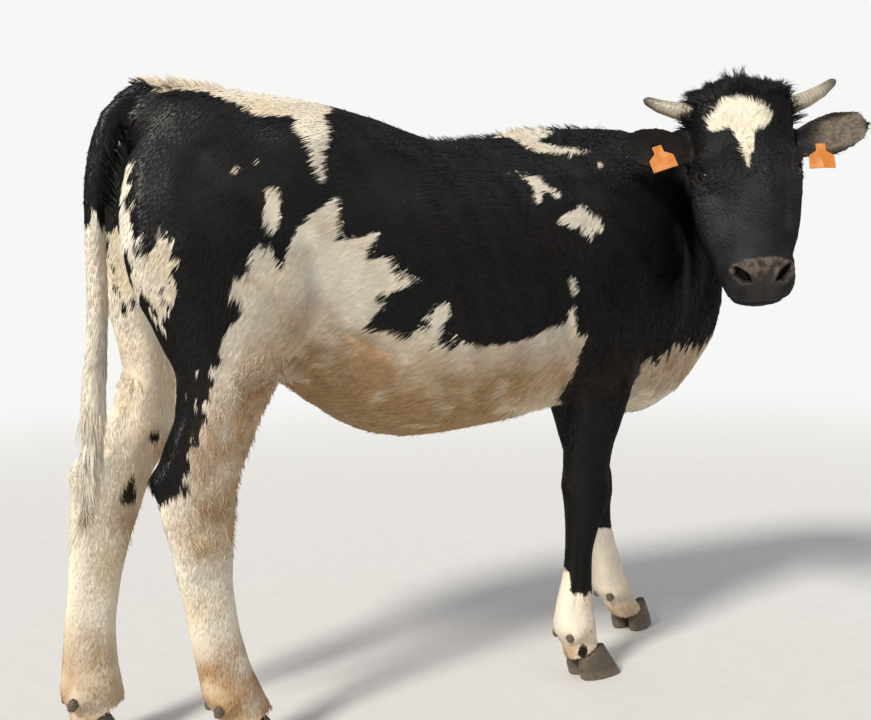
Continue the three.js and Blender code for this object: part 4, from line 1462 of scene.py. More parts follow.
# ---------------- eyes, horns, claws and tags
@dataclass
class Eyes:
    """Both eyeballs, each a ball with a slightly raised cornea."""

    layout: Layout
    balls: tuple[Eyeball, Eyeball]
    rings: int = 40
    around: int = 56
    cornea: float = 0.0011
    level: Triple = (0.35, 0.0, 0.94)

    def build(self) -> list[Object]:
        """Makes the two pieces.

        Returns:
            The left and right piece.
        """
        finish = EyeFinish().material()
        made = []
        for ball in self.balls:
            name = "eye_left" if ball.side == LEFT else "eye_right"
            made.append(finish_piece(self._ball(ball, name + "_ball"), "eye", finish, name))
        return made

    def _ball(self, ball: Eyeball, name: str) -> Object:
        """One eyeball with its pole on the gaze.

        Args:
            ball: The eye.
            name: The piece's name.

        Returns:
            The object, which carries the place on the ball for its material.
        """
        gaze = ball.axes()[0]
        mesh = bpy.data.meshes.new(name)
        with editing(mesh) as work:
            bmesh.ops.create_uvsphere(work, u_segments=self.around, v_segments=self.rings, radius=1.0)
        across, high, forward = mesh_points(mesh).T
        reach = ball.radius + self.cornea * ease(forward, 0.62, 0.95)
        upright = np.array(self.level)
        level = unit(upright - gaze * (upright @ gaze))
        flat = np.cross(level, gaze)
        place = forward[:, None] * gaze + across[:, None] * flat + high[:, None] * level
        head = ball.centre() + place * reach[:, None]
        set_points(mesh, self.layout.from_head(head))
        store(mesh, "gaze", np.stack([forward, across, high], 1))
        outward(mesh)
        return new_object(name, mesh)


@dataclass
class Horns:
    """Both horns: swept rounds that curve up, ringed at the base and smooth at the tip."""

    layout: Layout
    thick: float = 0.0172
    root: Triple = (-0.04, 0.072, -0.04)
    spans: dict[float, float] = field(default_factory=lambda: {LEFT: 0.134, RIGHT: 0.12})
    rises: dict[float, float] = field(default_factory=lambda: {LEFT: 0.058, RIGHT: 0.044})
    lift: tuple[float, ...] = (0.0, 0.06, 0.25, 0.56, 1.0)
    taper: tuple[float, ...] = (1.08, 1.06, 0.98, 0.8, 0.46)
    rings: int = 90
    around: int = 40
    ridge: float = 0.0005

    def build(self) -> list[Object]:
        """Makes the two pieces.

        Returns:
            The left and right piece.
        """
        finish = HornFinish().material()
        return [finish_piece(self._horn(side, name + "_grown"), "horn", finish, name)
                for side, name in ((LEFT, "horn_left"), (RIGHT, "horn_right"))]

    def _horn(self, side: float, name: str) -> Object:
        """One horn from its root to its closed tip.

        Args:
            side: LEFT or RIGHT.
            name: The piece's name.

        Returns:
            The object, which carries the share of the length for its material.
        """
        t = np.linspace(0.0, 1.0, self.rings)
        steps = np.linspace(0.0, 1.0, len(self.lift))
        lift = np.interp(t, steps, self.lift) + 0.03 * np.sin(np.pi * t)
        width = self.thick * np.interp(t, steps, self.taper)
        run = t * self.spans[side]
        rings = self.ridge * np.sin(math.tau * run / 0.0075 + 1.2 * np.sin(run * 130.0)) * ease(t, 0.75, 0.35)
        width = (width + rings) * np.sqrt(np.clip(1.0 - ((t - 0.93) / 0.075).clip(0, 1) ** 2, 0.02, 1.0))
        x = self.root[0] - 0.012 * t
        line = np.stack([x, side * (self.root[1] + run), self.root[2] + self.rises[side] * lift], 1)
        ahead = unit(np.gradient(line, axis=0))
        one = unit(np.cross(ahead, np.array([1.0, 0.0, 0.0])))
        two = np.cross(ahead, one)
        angle = np.linspace(0.0, math.tau, self.around, endpoint=False)
        ring = np.cos(angle)[None, :, None] * one[:, None] + np.sin(angle)[None, :, None] * two[:, None]
        head = (line[:, None] + ring * width[:, None, None]).reshape(-1, 3)
        head = np.vstack([head, line[:1], line[-1:] + ahead[-1:] * 0.002])
        points = self.layout.from_head(head)
        around, last = self.around, (self.rings - 1) * self.around
        turns = [(j, (j + 1) % around) for j in range(around)]
        rows = [(i, i + around) for i in range(0, last, around)]
        faces = [(i + j, i + k, up + k, up + j) for i, up in rows for j, k in turns]
        for j, k in turns:
            faces += [(len(points) - 2, k, j), (len(points) - 1, last + j, last + k)]
        mesh = bpy.data.meshes.new(name)
        mesh.from_pydata(points.tolist(), [], faces)
        share = np.append(np.repeat(t, self.around), [0.0, 1.0])
        store(mesh, "share", share)
        store(mesh, "run", share * self.spans[side])
        outward(mesh)
        return new_object(name, mesh)


@dataclass
class Claws:
    """The sixteen claws and dewclaws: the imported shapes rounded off, with growth rings and worn edges."""

    voxel: float = 0.0019
    dewclaw_voxel: float = 0.0012
    rounds: int = 9
    ring: float = 0.0006

    def build(self, nodes: dict[str, Object]) -> list[Object]:
        """Makes one piece for each claw and dewclaw.

        Args:
            nodes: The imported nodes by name.

        Returns:
            The pieces.
        """
        finish = HornFinish(name="hoof", pale=(0.11, 0.084, 0.058, 1), dark=(0.038, 0.029, 0.021, 1),
                            tip=(0.18, 0.14, 0.098, 1), band=0.0055, roughness=0.55).material()
        names = sorted(name for name in nodes if name.startswith(("claw", "dewclaw")))
        pieces = ((name, self._claw(nodes[name], name + "_worn")) for name in names)
        return [finish_piece(piece, "hoof_horn", finish, name) for name, piece in pieces]

    def _claw(self, node: Object, name: str) -> Object:
        """One claw or dewclaw.

        Args:
            node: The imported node.
            name: The piece's name.

        Returns:
            The object, flat where it stands on the floor.
        """
        mesh = in_even_faces(node, self.dewclaw_voxel if name.startswith("dewclaw") else self.voxel)
        heights = mesh_points(mesh)[:, 2]
        level = heights.min()
        on_floor = ease(heights, level + 0.004, level + 0.001) * (level < 0.01)
        relax(mesh, 1.0 - on_floor, self.rounds)
        points, normals = mesh_points(mesh), mesh_normals(mesh)
        high, low = points[:, 2].max(), points[:, 2].min()
        share = (points[:, 2] - low) / (high - low)
        run = points[:, 2] + 0.002 * noise(points, 0.02, 61)
        worn = 0.0008 * noise(points, 0.009, 62) * ease(share, 0.35, 0.0)
        lift = (self.ring * np.sin(math.tau * run / 0.0062) * ease(share, 0.1, 0.3) + worn) * (1 - on_floor)
        points = points + normals * lift[:, None]
        points[:, 2] = np.maximum(points[:, 2], level)
        set_points(mesh, points)
        store(mesh, "share", 1.0 - share)
        store(mesh, "run", run)
        return new_object(name, mesh)


@dataclass
class Tags:
    """The two bare plastic ear tags; the left one is creased down its middle."""

    layout: Layout
    voxel: float = 0.0008
    crease: float = 0.003

    def build(self, nodes: dict[str, Object]) -> list[Object]:
        """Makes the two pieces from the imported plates.

        Args:
            nodes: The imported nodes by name.

        Returns:
            The pieces.
        """
        finish = TagFinish().material()
        made = []
        for name in ("ear_tag_left", "ear_tag_right"):
            mesh = in_even_faces(nodes[name], self.voxel)
            relax(mesh, np.ones(len(mesh.vertices)), 3)
            self._bend(mesh, name.endswith("left"))
            made.append(finish_piece(new_object(name + "_plate", mesh), "ear_tag", finish, name))
        return made

    def _bend(self, mesh: Mesh, creased: bool) -> None:
        """Warps the plate a little, and folds it down the middle if it is creased.

        Args:
            mesh: The plate, which is changed.
            creased: Whether it is folded.
        """
        head = self.layout.to_head(mesh_points(mesh))
        low = ease(head[:, 2], head[:, 2].max() - 0.018, head[:, 2].min() + 0.01)
        middle = 0.5 * (head[:, 1].min() + head[:, 1].max())
        across = head[:, 1] - middle
        warp = 0.0012 * np.sin(across * 90.0) * low
        if creased:
            warp += low * self.crease * (np.exp(-np.abs(across) / 0.012) - 0.35)
        head[:, 0] += warp
        set_points(mesh, self.layout.from_head(head))


# ---------------- the coat
@dataclass(frozen=True)
class Lie:
    """Which way the hair lies, and how it wanders."""

    whorl: tuple[float, float] = (-0.003, -0.15)
    wander: float = 0.26
    curl: float = 0.12
    towards: tuple[tuple[str, Triple], ...] = (
        ("neck", (-0.6, 0.55, -0.62)), ("hind", (-0.12, 0.0, -1.0)), ("fore", (-0.12, 0.0, -1.0)))

    def direction(self, at: Places, normals: Array) -> Array:
        """Unit vectors along the skin.

        Args:
            at: The roots.
            normals: The skin's normals there.

        Returns:
            The lie of the hair at each root.
        """
        x, y, z = at.body.T
        masks = at.masks
        back = -np.ones(len(x))
        low = ease(z, 0.72, 0.6)
        lie = np.stack([back, -0.25 * np.sign(y) * low, -0.42 - 0.25 * ease(z, 1.0, 0.8) + 0.35 * low], 1)
        rump = ease(x, -0.3, -0.48)
        lie += rump[:, None] * np.array([0.35, 0.0, -0.75])
        shoulder = ease(x, 0.18, 0.34) * ease(z, 0.62, 0.72)
        lie += shoulder[:, None] * np.array([0.35, 0.0, -0.35])
        for name, towards in self.towards:
            lie += (np.array(towards) - lie) * masks[name][:, None]
        dock = np.stack([back, 0.0 * x, 0.15 - 1.4 * ease(x, -0.52, -0.61)], 1)
        fall = ease(z, 1.16, 1.06)[:, None]
        tail = dock + (np.array([-0.04, 0.0, -1.0]) - dock) * fall
        lie += (tail - lie) * masks["tail"][:, None]
        lie += (self._on_head(at) - lie) * masks["head"][:, None]
        lie = unit(lie - normals * np.sum(lie * normals, axis=1, keepdims=True))
        across = np.cross(normals, lie)
        poll = ease(at.head[:, 2], -0.09, -0.02) * masks["head"]
        even = 0.45 * masks["head"] + 0.4 * masks["fore"] + 0.4 * masks["hind"]
        spread = self.wander * (1 - even) + 0.9 * poll
        calm = 1.0 - 0.6 * np.maximum.reduce([masks["head"] - poll, masks["fore"], masks["hind"]])
        angle = spread * noise(at.points, 0.06, 71) + self.curl * calm * noise(at.points, 0.02, 72)
        return unit(lie * np.cos(angle)[:, None] + across * np.sin(angle)[:, None])

    def _on_head(self, at: Places) -> Array:
        """The lie on the head: out from the whorl on the forehead, and along the ears.

        Args:
            at: The roots.

        Returns:
            One direction for each root, in the row's frame.
        """
        hx, hy, hz = at.head.T
        nothing = 0.0 * hx
        from_whorl = np.stack([nothing, hy - self.whorl[0], 1.1 * (hz - self.whorl[1])], 1)
        face = unit(from_whorl) * ease(lengths(from_whorl), 0.0, 0.02)[:, None]
        back = ease(hx, -0.04, -0.1) * ease(hz, -0.02, -0.1)
        face += (unit(np.array([-0.9, 0.0, -0.5])) - face) * back[:, None]
        ear = np.stack([nothing + 0.25, np.sign(hy), nothing + 0.1], 1)
        face += (ear - face) * at.masks["ear"][:, None]
        return at.layout.turned(face, to_head=False)


class Part(Enum):
    """The pieces into which the short coat is divided."""

    HEAD = "coat_head"
    EARS = "coat_ears"
    NECK = "coat_neck"
    FLANK_RIGHT = "coat_flank_right"
    FLANK_LEFT = "coat_flank_left"
    RUMP_RIGHT = "coat_rump_right"
    RUMP_LEFT = "coat_rump_left"
    FORELEGS = "coat_forelegs"
    HIND_LEGS = "coat_hind_legs"
    TAIL = "coat_tail"


@dataclass(frozen=True)
class Fur:
    """One part's hair: the size, rise and spacing of its tufts, and how they clump and shade."""

    length: float
    width: float
    height: float
    rise: float
    spacing: float
    clump: float
    gather: float
    softness: float = 0.62


@dataclass
class Roots:
    """The places where tufts or locks grow, with what they carry."""

    at: Places
    normals: Array
    lie: Array
    white: Array
    stain: Array
    painted_sheen: Array
    tone: Array
    size: Array

    def choose(self, keep: Array) -> Roots:
        """Only the roots that are kept."""
        carried = {each.name: getattr(self, each.name)[keep] for each in fields(self) if each.name != "at"}
        return Roots(at=Places(self.at.layout, self.at.points[keep]), **carried)


@dataclass
class Coat:
    """All the hair that stands on the skin."""

    layout: Layout
    markings: Markings
    seed: int = 7
    patch: float = 0.003
    furs: dict[Part, Fur] = field(default_factory=lambda: {
        Part.HEAD: Fur(0.01, 0.0018, 0.0012, 0.13, 0.0028, 0.005, 0.3, 0.3),
        Part.EARS: Fur(0.0075, 0.0015, 0.0006, 0.07, 0.0022, 0.004, 0.2, 0.8),
        Part.NECK: Fur(0.026, 0.003, 0.0014, 0.11, 0.0035, 0.012, 0.45),
        Part.FLANK_RIGHT: Fur(0.023, 0.0026, 0.0011, 0.085, 0.0037, 0.009, 0.38),
        Part.FLANK_LEFT: Fur(0.023, 0.0028, 0.0011, 0.085, 0.0041, 0.009, 0.38),
        Part.RUMP_RIGHT: Fur(0.0205, 0.0025, 0.0011, 0.075, 0.0034, 0.008, 0.32),
        Part.RUMP_LEFT: Fur(0.0205, 0.0027, 0.0011, 0.075, 0.0038, 0.008, 0.32),
        Part.FORELEGS: Fur(0.012, 0.0018, 0.0008, 0.06, 0.0033, 0.005, 0.25),
        Part.HIND_LEGS: Fur(0.0135, 0.002, 0.0009, 0.065, 0.0032, 0.006, 0.3),
        Part.TAIL: Fur(0.025, 0.0024, 0.0012, 0.11, 0.0028, 0.007, 0.5),
    })
    most: int = 47_500

    def build(self, skin: Object) -> list[Object]:
        """Grows the short coat and the locks.

        Args:
            skin: The finished skin.

        Returns:
            The pieces of the coat.
        """
        finish = CoatFinish().material()
        tuft, tree = self._tuft(), self._tuft_tree()
        found = self._scatter(skin)
        made = [self._grow(part, roots, tuft, tree, finish) for part, roots in found.items()]
        bpy.data.objects.remove(tuft)
        return made + Locks(self).build(found, finish)

    # -------- where the hair grows
    def _part_of(self, at: Places) -> Array:
        """The index of each point's part.

        Args:
            at: The points.

        Returns:
            Places in the list of parts.
        """
        x, y, z = at.body.T
        masks = at.masks
        rear, right = x < -0.12, y < 0
        foreleg = (z < 0.6) & (x > 0.14) & (np.abs(y) > 0.035) & (x < 0.75)
        hind_leg = (z < 0.66) & (x < -0.3) & (masks["tail"] < 0.5)
        choices = {  # the first that fits
            Part.EARS: masks["ear"] > 0.5, Part.HEAD: masks["head"] > 0.5, Part.TAIL: masks["tail"] > 0.5,
            Part.HIND_LEGS: hind_leg, Part.FORELEGS: foreleg, Part.NECK: masks["neck"] > 0.5,
            Part.RUMP_RIGHT: rear & right, Part.RUMP_LEFT: rear, Part.FLANK_RIGHT: right,
        }
        order = list(Part)
        numbers = [order.index(part) for part in choices]
        return np.select(list(choices.values()), numbers, order.index(Part.FLANK_LEFT))

    def _scatter(self, skin: Object) -> dict[Part, Roots]:
        """Spreads the roots over the skin, each part at its own spacing.

        Args:
            skin: The finished skin.

        Returns:
            The roots by part.
        """
        mesh = skin.data
        points, normals = mesh_points(mesh), mesh_normals(mesh)
        mesh.calc_loop_triangles()
        faces = column(mesh.loop_triangles, "vertices", 3, np.int32)
        a, b, c = (points[faces[:, k]] for k in range(3))
        area = 0.5 * lengths(np.cross(b - a, c - a))
        bald = column(mesh.attributes["bald"].data, "value", 1, np.float32)
        part = self._part_of(Places(self.layout, (a + b + c) / 3.0))
        rng = np.random.default_rng(self.seed)
        found = {}
        for index, kind in enumerate(Part):
            fur = self.furs[kind]
            mine = np.where(part == index)[0]
            weight = area[mine] * (1.0 - bald[faces[mine]].mean(axis=1)).clip(0, 1)
            count = min(int(weight.sum() / fur.spacing**2), self.most)
            edges = np.cumsum(weight) / weight.sum()
            draws = (np.arange(count) + rng.random(count)) / count
            pick = mine[np.searchsorted(edges, draws).clip(0, len(mine) - 1)]
            u, v = rng.random((2, count))
            flip = u + v > 1.0
            u, v = np.where(flip, 1 - u, u)[:, None], np.where(flip, 1 - v, v)[:, None]
            spots = (self._blend(values, faces[pick], u, v) for values in (points, normals))
            found[kind] = self._roots(*spots)
            LOG.info("%s: %d tufts on %.3f square metres", kind.value, count, weight.sum())
        return found

    @staticmethod
    def _blend(values: Array, corners: Array, u: Array, v: Array) -> Array:
        """Vectors of the corners, mixed to a place inside each triangle."""
        return values[corners[:, 0]] * (1 - u - v) + values[corners[:, 1]] * u + values[corners[:, 2]] * v

    def _roots(self, place: Array, normal: Array) -> Roots:
        """What each root carries: the lie, the markings and its own tone and size.

        Args:
            place: Where the roots are.
            normal: The skin's normals there, of any length.

        Returns:
            The roots.
        """
        normal = unit(normal)
        at = Places(self.layout, place)
        rng = np.random.default_rng(self.seed + len(place))
        tone = 0.35 * noise(place, 0.018, 81) + 0.2 * noise(place, 0.05, 82)
        tone = tone + 0.9 * (rng.random(len(place)) - 0.5)
        size = 0.72 + 0.5 * rng.random(len(place)) + 0.25 * noise(place, 0.03, 83)
        marks = (self.markings.white(at), self.markings.stain(at), self.markings.painted_sheen(at))
        return Roots(at, normal, Lie().direction(at, normal), *marks, tone, size)

    # -------- the shape of the short coat
    def _tuft(self) -> Object:
        """One closed tuft: a flat base in the skin, a ridge and a low tip, with its place to be baked.

        Returns:
            The hidden object that is repeated.
        """
        mesh = bpy.data.meshes.new("tuft")
        points = [(-0.06, 0.5, -0.35), (-0.06, -0.5, -0.35), (0.4, 0.0, 0.85), (1.0, 0.0, 0.0)]
        mesh.from_pydata(points, [], [(0, 1, 2), (1, 3, 2), (3, 0, 2), (0, 3, 1)])
        outward(mesh)
        store(mesh, "petal", np.array([(0, 0, 0), (1, 0, 0), (0.5, 0.45, 0), (0.5, 1, 0)]))
        mesh.shade_smooth()
        made = new_object("tuft", mesh)
        made.hide_render = True
        return made

    def _tuft_tree(self) -> NodeTree:
        """Sets a tuft on every point, turned and sized by what the point carries.

        Returns:
            The new tree.
        """
        group, tree, given = self.hair_tree(
            "short_coat", ("Roots", "NodeSocketGeometry", None), ("Tuft", "NodeSocketObject", None))
        tuft = tree.add("GeometryNodeObjectInfo", {"Object": given["Tuft"]}).outputs["Geometry"]
        turn = tree.add("FunctionNodeEulerToRotation", {0: tree.carried("turn")}).outputs[0]
        placed = tree.add("GeometryNodeInstanceOnPoints", {
            "Points": given["Roots"], "Instance": tuft, "Rotation": turn, "Scale": tree.carried("size")})
        self.close_tree(tree, placed.outputs[0], given)
        return group

    def hair_tree(self, name: str, *inputs: tuple) -> Group:
        """A geometry tree with its own inputs and those that every kind of hair needs.

        Args:
            name: The tree's name.
            inputs: Name, socket type and default of each of its own inputs.

        Returns:
            The group, its tree and the sockets that it is given.
        """
        inputs += (("Patch", "NodeSocketFloat", self.patch), ("Finish", "NodeSocketMaterial", None))
        return new_group(name, "GeometryNodeTree", inputs, [("Coat", "NodeSocketGeometry")])

    @staticmethod
    def close_tree(tree: Tree, coat: NodeSocket, given: NodeOutputs) -> None:
        """Gives each hair its place on the unwrapped skin, drops what is used up and sets the finish.

        Args:
            tree: The tree that grows the hair.
            coat: The hair, as instances or plain geometry.
            given: The tree's inputs.
        """
        coat = tree.add("GeometryNodeRealizeInstances", {0: coat}).outputs[0]
        spread = tree.scaled(tree.carried("petal"), given["Patch"])
        coat = tree.keep(coat, "OFBake", tree.added(tree.carried("bake_root"), spread), "FLOAT2", "CORNER")
        for name in ("turn", "size", "petal", "bake_root", "thick", "around"):
            coat = tree.add("GeometryNodeRemoveAttribute", {"Geometry": coat, "Name": name}).outputs[0]
        coat = tree.add("GeometryNodeSetMaterial", {"Geometry": coat, "Material": given["Finish"]}).outputs[0]
        tree.add("NodeGroupOutput", {0: coat})

    def _grow(self, part: Part, roots: Roots, tuft: Object, tree: NodeTree, finish: Material) -> Object:
        """One part of the short coat.

        Args:
            part: Which part.
            roots: Its roots.
            tuft: The tuft that is repeated.
            tree: The tree that repeats it.
            finish: The coat's material.

        Returns:
            The finished piece.
        """
        fur = self.furs[part]
        at, normal, lie = roots.at, roots.normals, roots.lie
        length, width = self._measure(part, fur, roots)
        own = lie + normal * fur.rise
        near = self.clumps(at.points, fur.clump)
        centre, ahead = at.points[near], lie[near] * length[near][:, None] * 1.05
        shared = centre + ahead + normal[near] * (length[near] * fur.rise * 1.25)[:, None] - at.points
        along = unit(own) * length[:, None]
        along = along + (shared - along) * fur.gather
        reach = np.clip(lengths(along), 0.6 * length, 1.4 * length)
        forward = unit(along)
        forward = unit(forward - normal * np.minimum(np.sum(forward * normal, axis=1) - 0.03, 0.0)[:, None])
        across = unit(np.cross(normal, forward))
        up = np.cross(forward, across)
        turn = np.stack([np.arctan2(across[:, 2], up[:, 2]), -np.arcsin(np.clip(forward[:, 2], -1, 1)),
                         np.arctan2(forward[:, 1], forward[:, 0])], 1)
        mesh = bpy.data.meshes.new(part.value + "_roots")
        mesh.vertices.add(len(at.points))
        set_points(mesh, at.points - normal * 0.0004)
        store(mesh, "turn", turn)
        store(mesh, "size", np.stack([reach, width, fur.height * roots.size], 1))
        self.carry(mesh, part, roots)
        return self.evaluate(part.value, mesh, tree, {"Tuft": tuft, "Finish": finish}, fur.softness)

    def _measure(self, part: Part, fur: Fur, roots: Roots) -> tuple[Array, Array]:
        """Length and width of each tuft: less towards the muzzle and the feet, more on the poll and belly.

        Args:
            part: Which part.
            fur: Its hair.
            roots: Its roots.

        Returns:
            The length and the width of each tuft in metres.
        """
        at = roots.at
        length = fur.length * roots.size
        width = fur.width * (0.75 + 0.35 * roots.size)
        if part is Part.HEAD:
            grown = ease(at.head[:, 2], -0.4, -0.2)
            poll = ease(at.head[:, 2], -0.13, -0.03)
            length = length * (0.45 + 0.55 * grown + 1.5 * poll)
            width = width * (0.6 + 0.4 * grown + 0.6 * poll)
        elif part in (Part.FORELEGS, Part.HIND_LEGS):
            high = ease(at.body[:, 2], 0.1, 0.6)
            length = length * (0.7 + 0.75 * high)
            width = width * (0.85 + 0.35 * high)
        elif part is Part.TAIL:
            length = length * (0.75 + 0.9 * ease(at.body[:, 2], 0.95, 0.6))
        else:
            under = ease(at.body[:, 2], 0.66, 0.57)
            length = length * (1.0 + 0.35 * under)
        return length, width

    @staticmethod
    def clumps(points: Array, size: float) -> Array:
        """For each root, the number of the root that leads its clump.

        Args:
            points: The roots' places.
            size: How wide a clump is, in metres.

        Returns:
            One root's number for each root.
        """
        cells = np.floor(points / size + 0.35 * noise(points, size * 2.0, 91)[:, None]).astype(np.int64)
        keys = (cells[:, 0] * 73856093) ^ (cells[:, 1] * 19349663) ^ (cells[:, 2] * 83492791)
        _, first, which = np.unique(keys, return_index=True, return_inverse=True)
        return first[which]

    def carry(self, mesh: Mesh, part: Part, roots: Roots, each: int = 1) -> None:
        """Stores on the points what every hair carries: its markings and its place on the unwrapped skin.

        Args:
            mesh: The points.
            part: Which part of the skin they are on.
            roots: The roots of the hair.
            each: How many points each root has.
        """
        store(mesh, "skin_normal", np.repeat(roots.normals, each, 0))
        store(mesh, "bake_root", np.repeat(self._unwrap(part, roots), each, 0))
        for label in MARKS:
            store(mesh, label.lower(), np.repeat(getattr(roots, label.lower()), each))

    def _unwrap(self, part: Part, roots: Roots) -> Array:
        """Each root's place on its part of the skin, opened out round the body, head, legs or tail.

        Args:
            part: Which part.
            roots: Its roots.

        Returns:
            Rows of u, v and zero, inside the unit square.
        """
        at = roots.at
        x, y, z = at.body.T
        hx, hy, hz = at.head.T
        if part is Part.HEAD:
            along, round_ = hz, np.arctan2(hy, hx + 0.09)
        elif part is Part.EARS:
            inner = self.layout.turned(roots.normals)[:, 0] > 0
            along, round_ = np.abs(hy), (hz + 0.13) / 0.14 + np.where(inner, 1.2, 0.0)
            round_ = round_ + np.where(hy > 0, 2.4, 0.0)
        elif part is Part.NECK:
            along, round_ = 0.5 * x - 0.85 * y, np.arctan2(0.85 * (x - 0.58) + 0.5 * (y + 0.06), z - 1.0)
        elif part in (Part.FORELEGS, Part.HIND_LEGS):
            middle = np.where(y < 0, -0.12, 0.11)
            along, round_ = z, np.arctan2(y - middle, x - self._leg_middle(at))
            round_ = round_ + np.where(y > 0, math.tau * 1.1, 0.0)
        elif part is Part.TAIL:
            along, round_ = np.where(z > 1.0, z - 0.8 * (x + 0.61), z), np.arctan2(y + 0.02, x + 0.62)
        else:
            along, round_ = x, np.arctan2(np.abs(y), z - 0.84)
        made = np.zeros((len(x), 3))
        for axis, values in enumerate((along, round_)):
            low, high = values.min(), values.max()
            made[:, axis] = 0.004 + 0.988 * (values - low) / max(high - low, 1e-9) * (1.0 - self.patch)
        return made

    @staticmethod
    def _leg_middle(at: Places) -> Array:
        """The X of the middle of the nearest leg at each root's height.

        Args:
            at: The roots.

        Returns:
            One X for each root, in the body's axes.
        """
        x, y, z = at.body.T
        middle = np.zeros(len(x))
        for mine in (y < 0, y >= 0):
            if mine.any():
                fit = np.polyfit(z[mine], x[mine], 3)
                middle[mine] = np.polyval(fit, z[mine])
        return middle

    @staticmethod
    def evaluate(name: str, mesh: Mesh, tree: NodeTree, inputs: dict[str, object],
                 softness: float) -> Object:
        """Runs a tree on a mesh and keeps the result as a plain piece.

        Args:
            name: The new piece's name.
            mesh: What the tree starts from.
            tree: The tree.
            inputs: Values by the names of the tree's inputs.
            softness: How far the hair is shaded as the skin below it, from 0 to 1.

        Returns:
            The finished piece.
        """
        source = new_object(name + "_source", mesh)
        modifier = source.modifiers.new("grow", "NODES")
        modifier.node_group = tree
        for item in tree.interface.items_tree:
            if item.item_type == "SOCKET" and item.in_out == "INPUT" and item.name in inputs:
                modifier[item.identifier] = inputs[item.name]
        graph = bpy.context.evaluated_depsgraph_get()
        grown = bpy.data.meshes.new_from_object(source.evaluated_get(graph), depsgraph=graph)
        source.modifiers.remove(modifier)
        bpy.data.objects.remove(source)
        bpy.data.meshes.remove(mesh)
        piece = finish_piece(new_object(name, grown), "coat_black", inputs["Finish"])
        below = column(grown.attributes["skin_normal"].data, "vector", 3, np.float32)
        soft = unit(mesh_normals(grown) * (1.0 - softness) + below * softness)
        grown.attributes.remove(grown.attributes["skin_normal"])
        grown.normals_split_custom_set_from_vertices(soft)
        return piece


@dataclass(frozen=True)
class Wisp:
    """A stand of long hair on a chain of places with a radius, in the body's axes or the head's.

    Its locks rise off the skin, fall, curl and lean by shares of their length.
    """

    chain: Chain
    count: int
    length: float
    rise: float
    fall: float = 0.2
    curl: float = 0.2
    lean: Triple = (0.0, 0.0, 0.0)
    on_head: bool = False
    thick: float = 0.0008


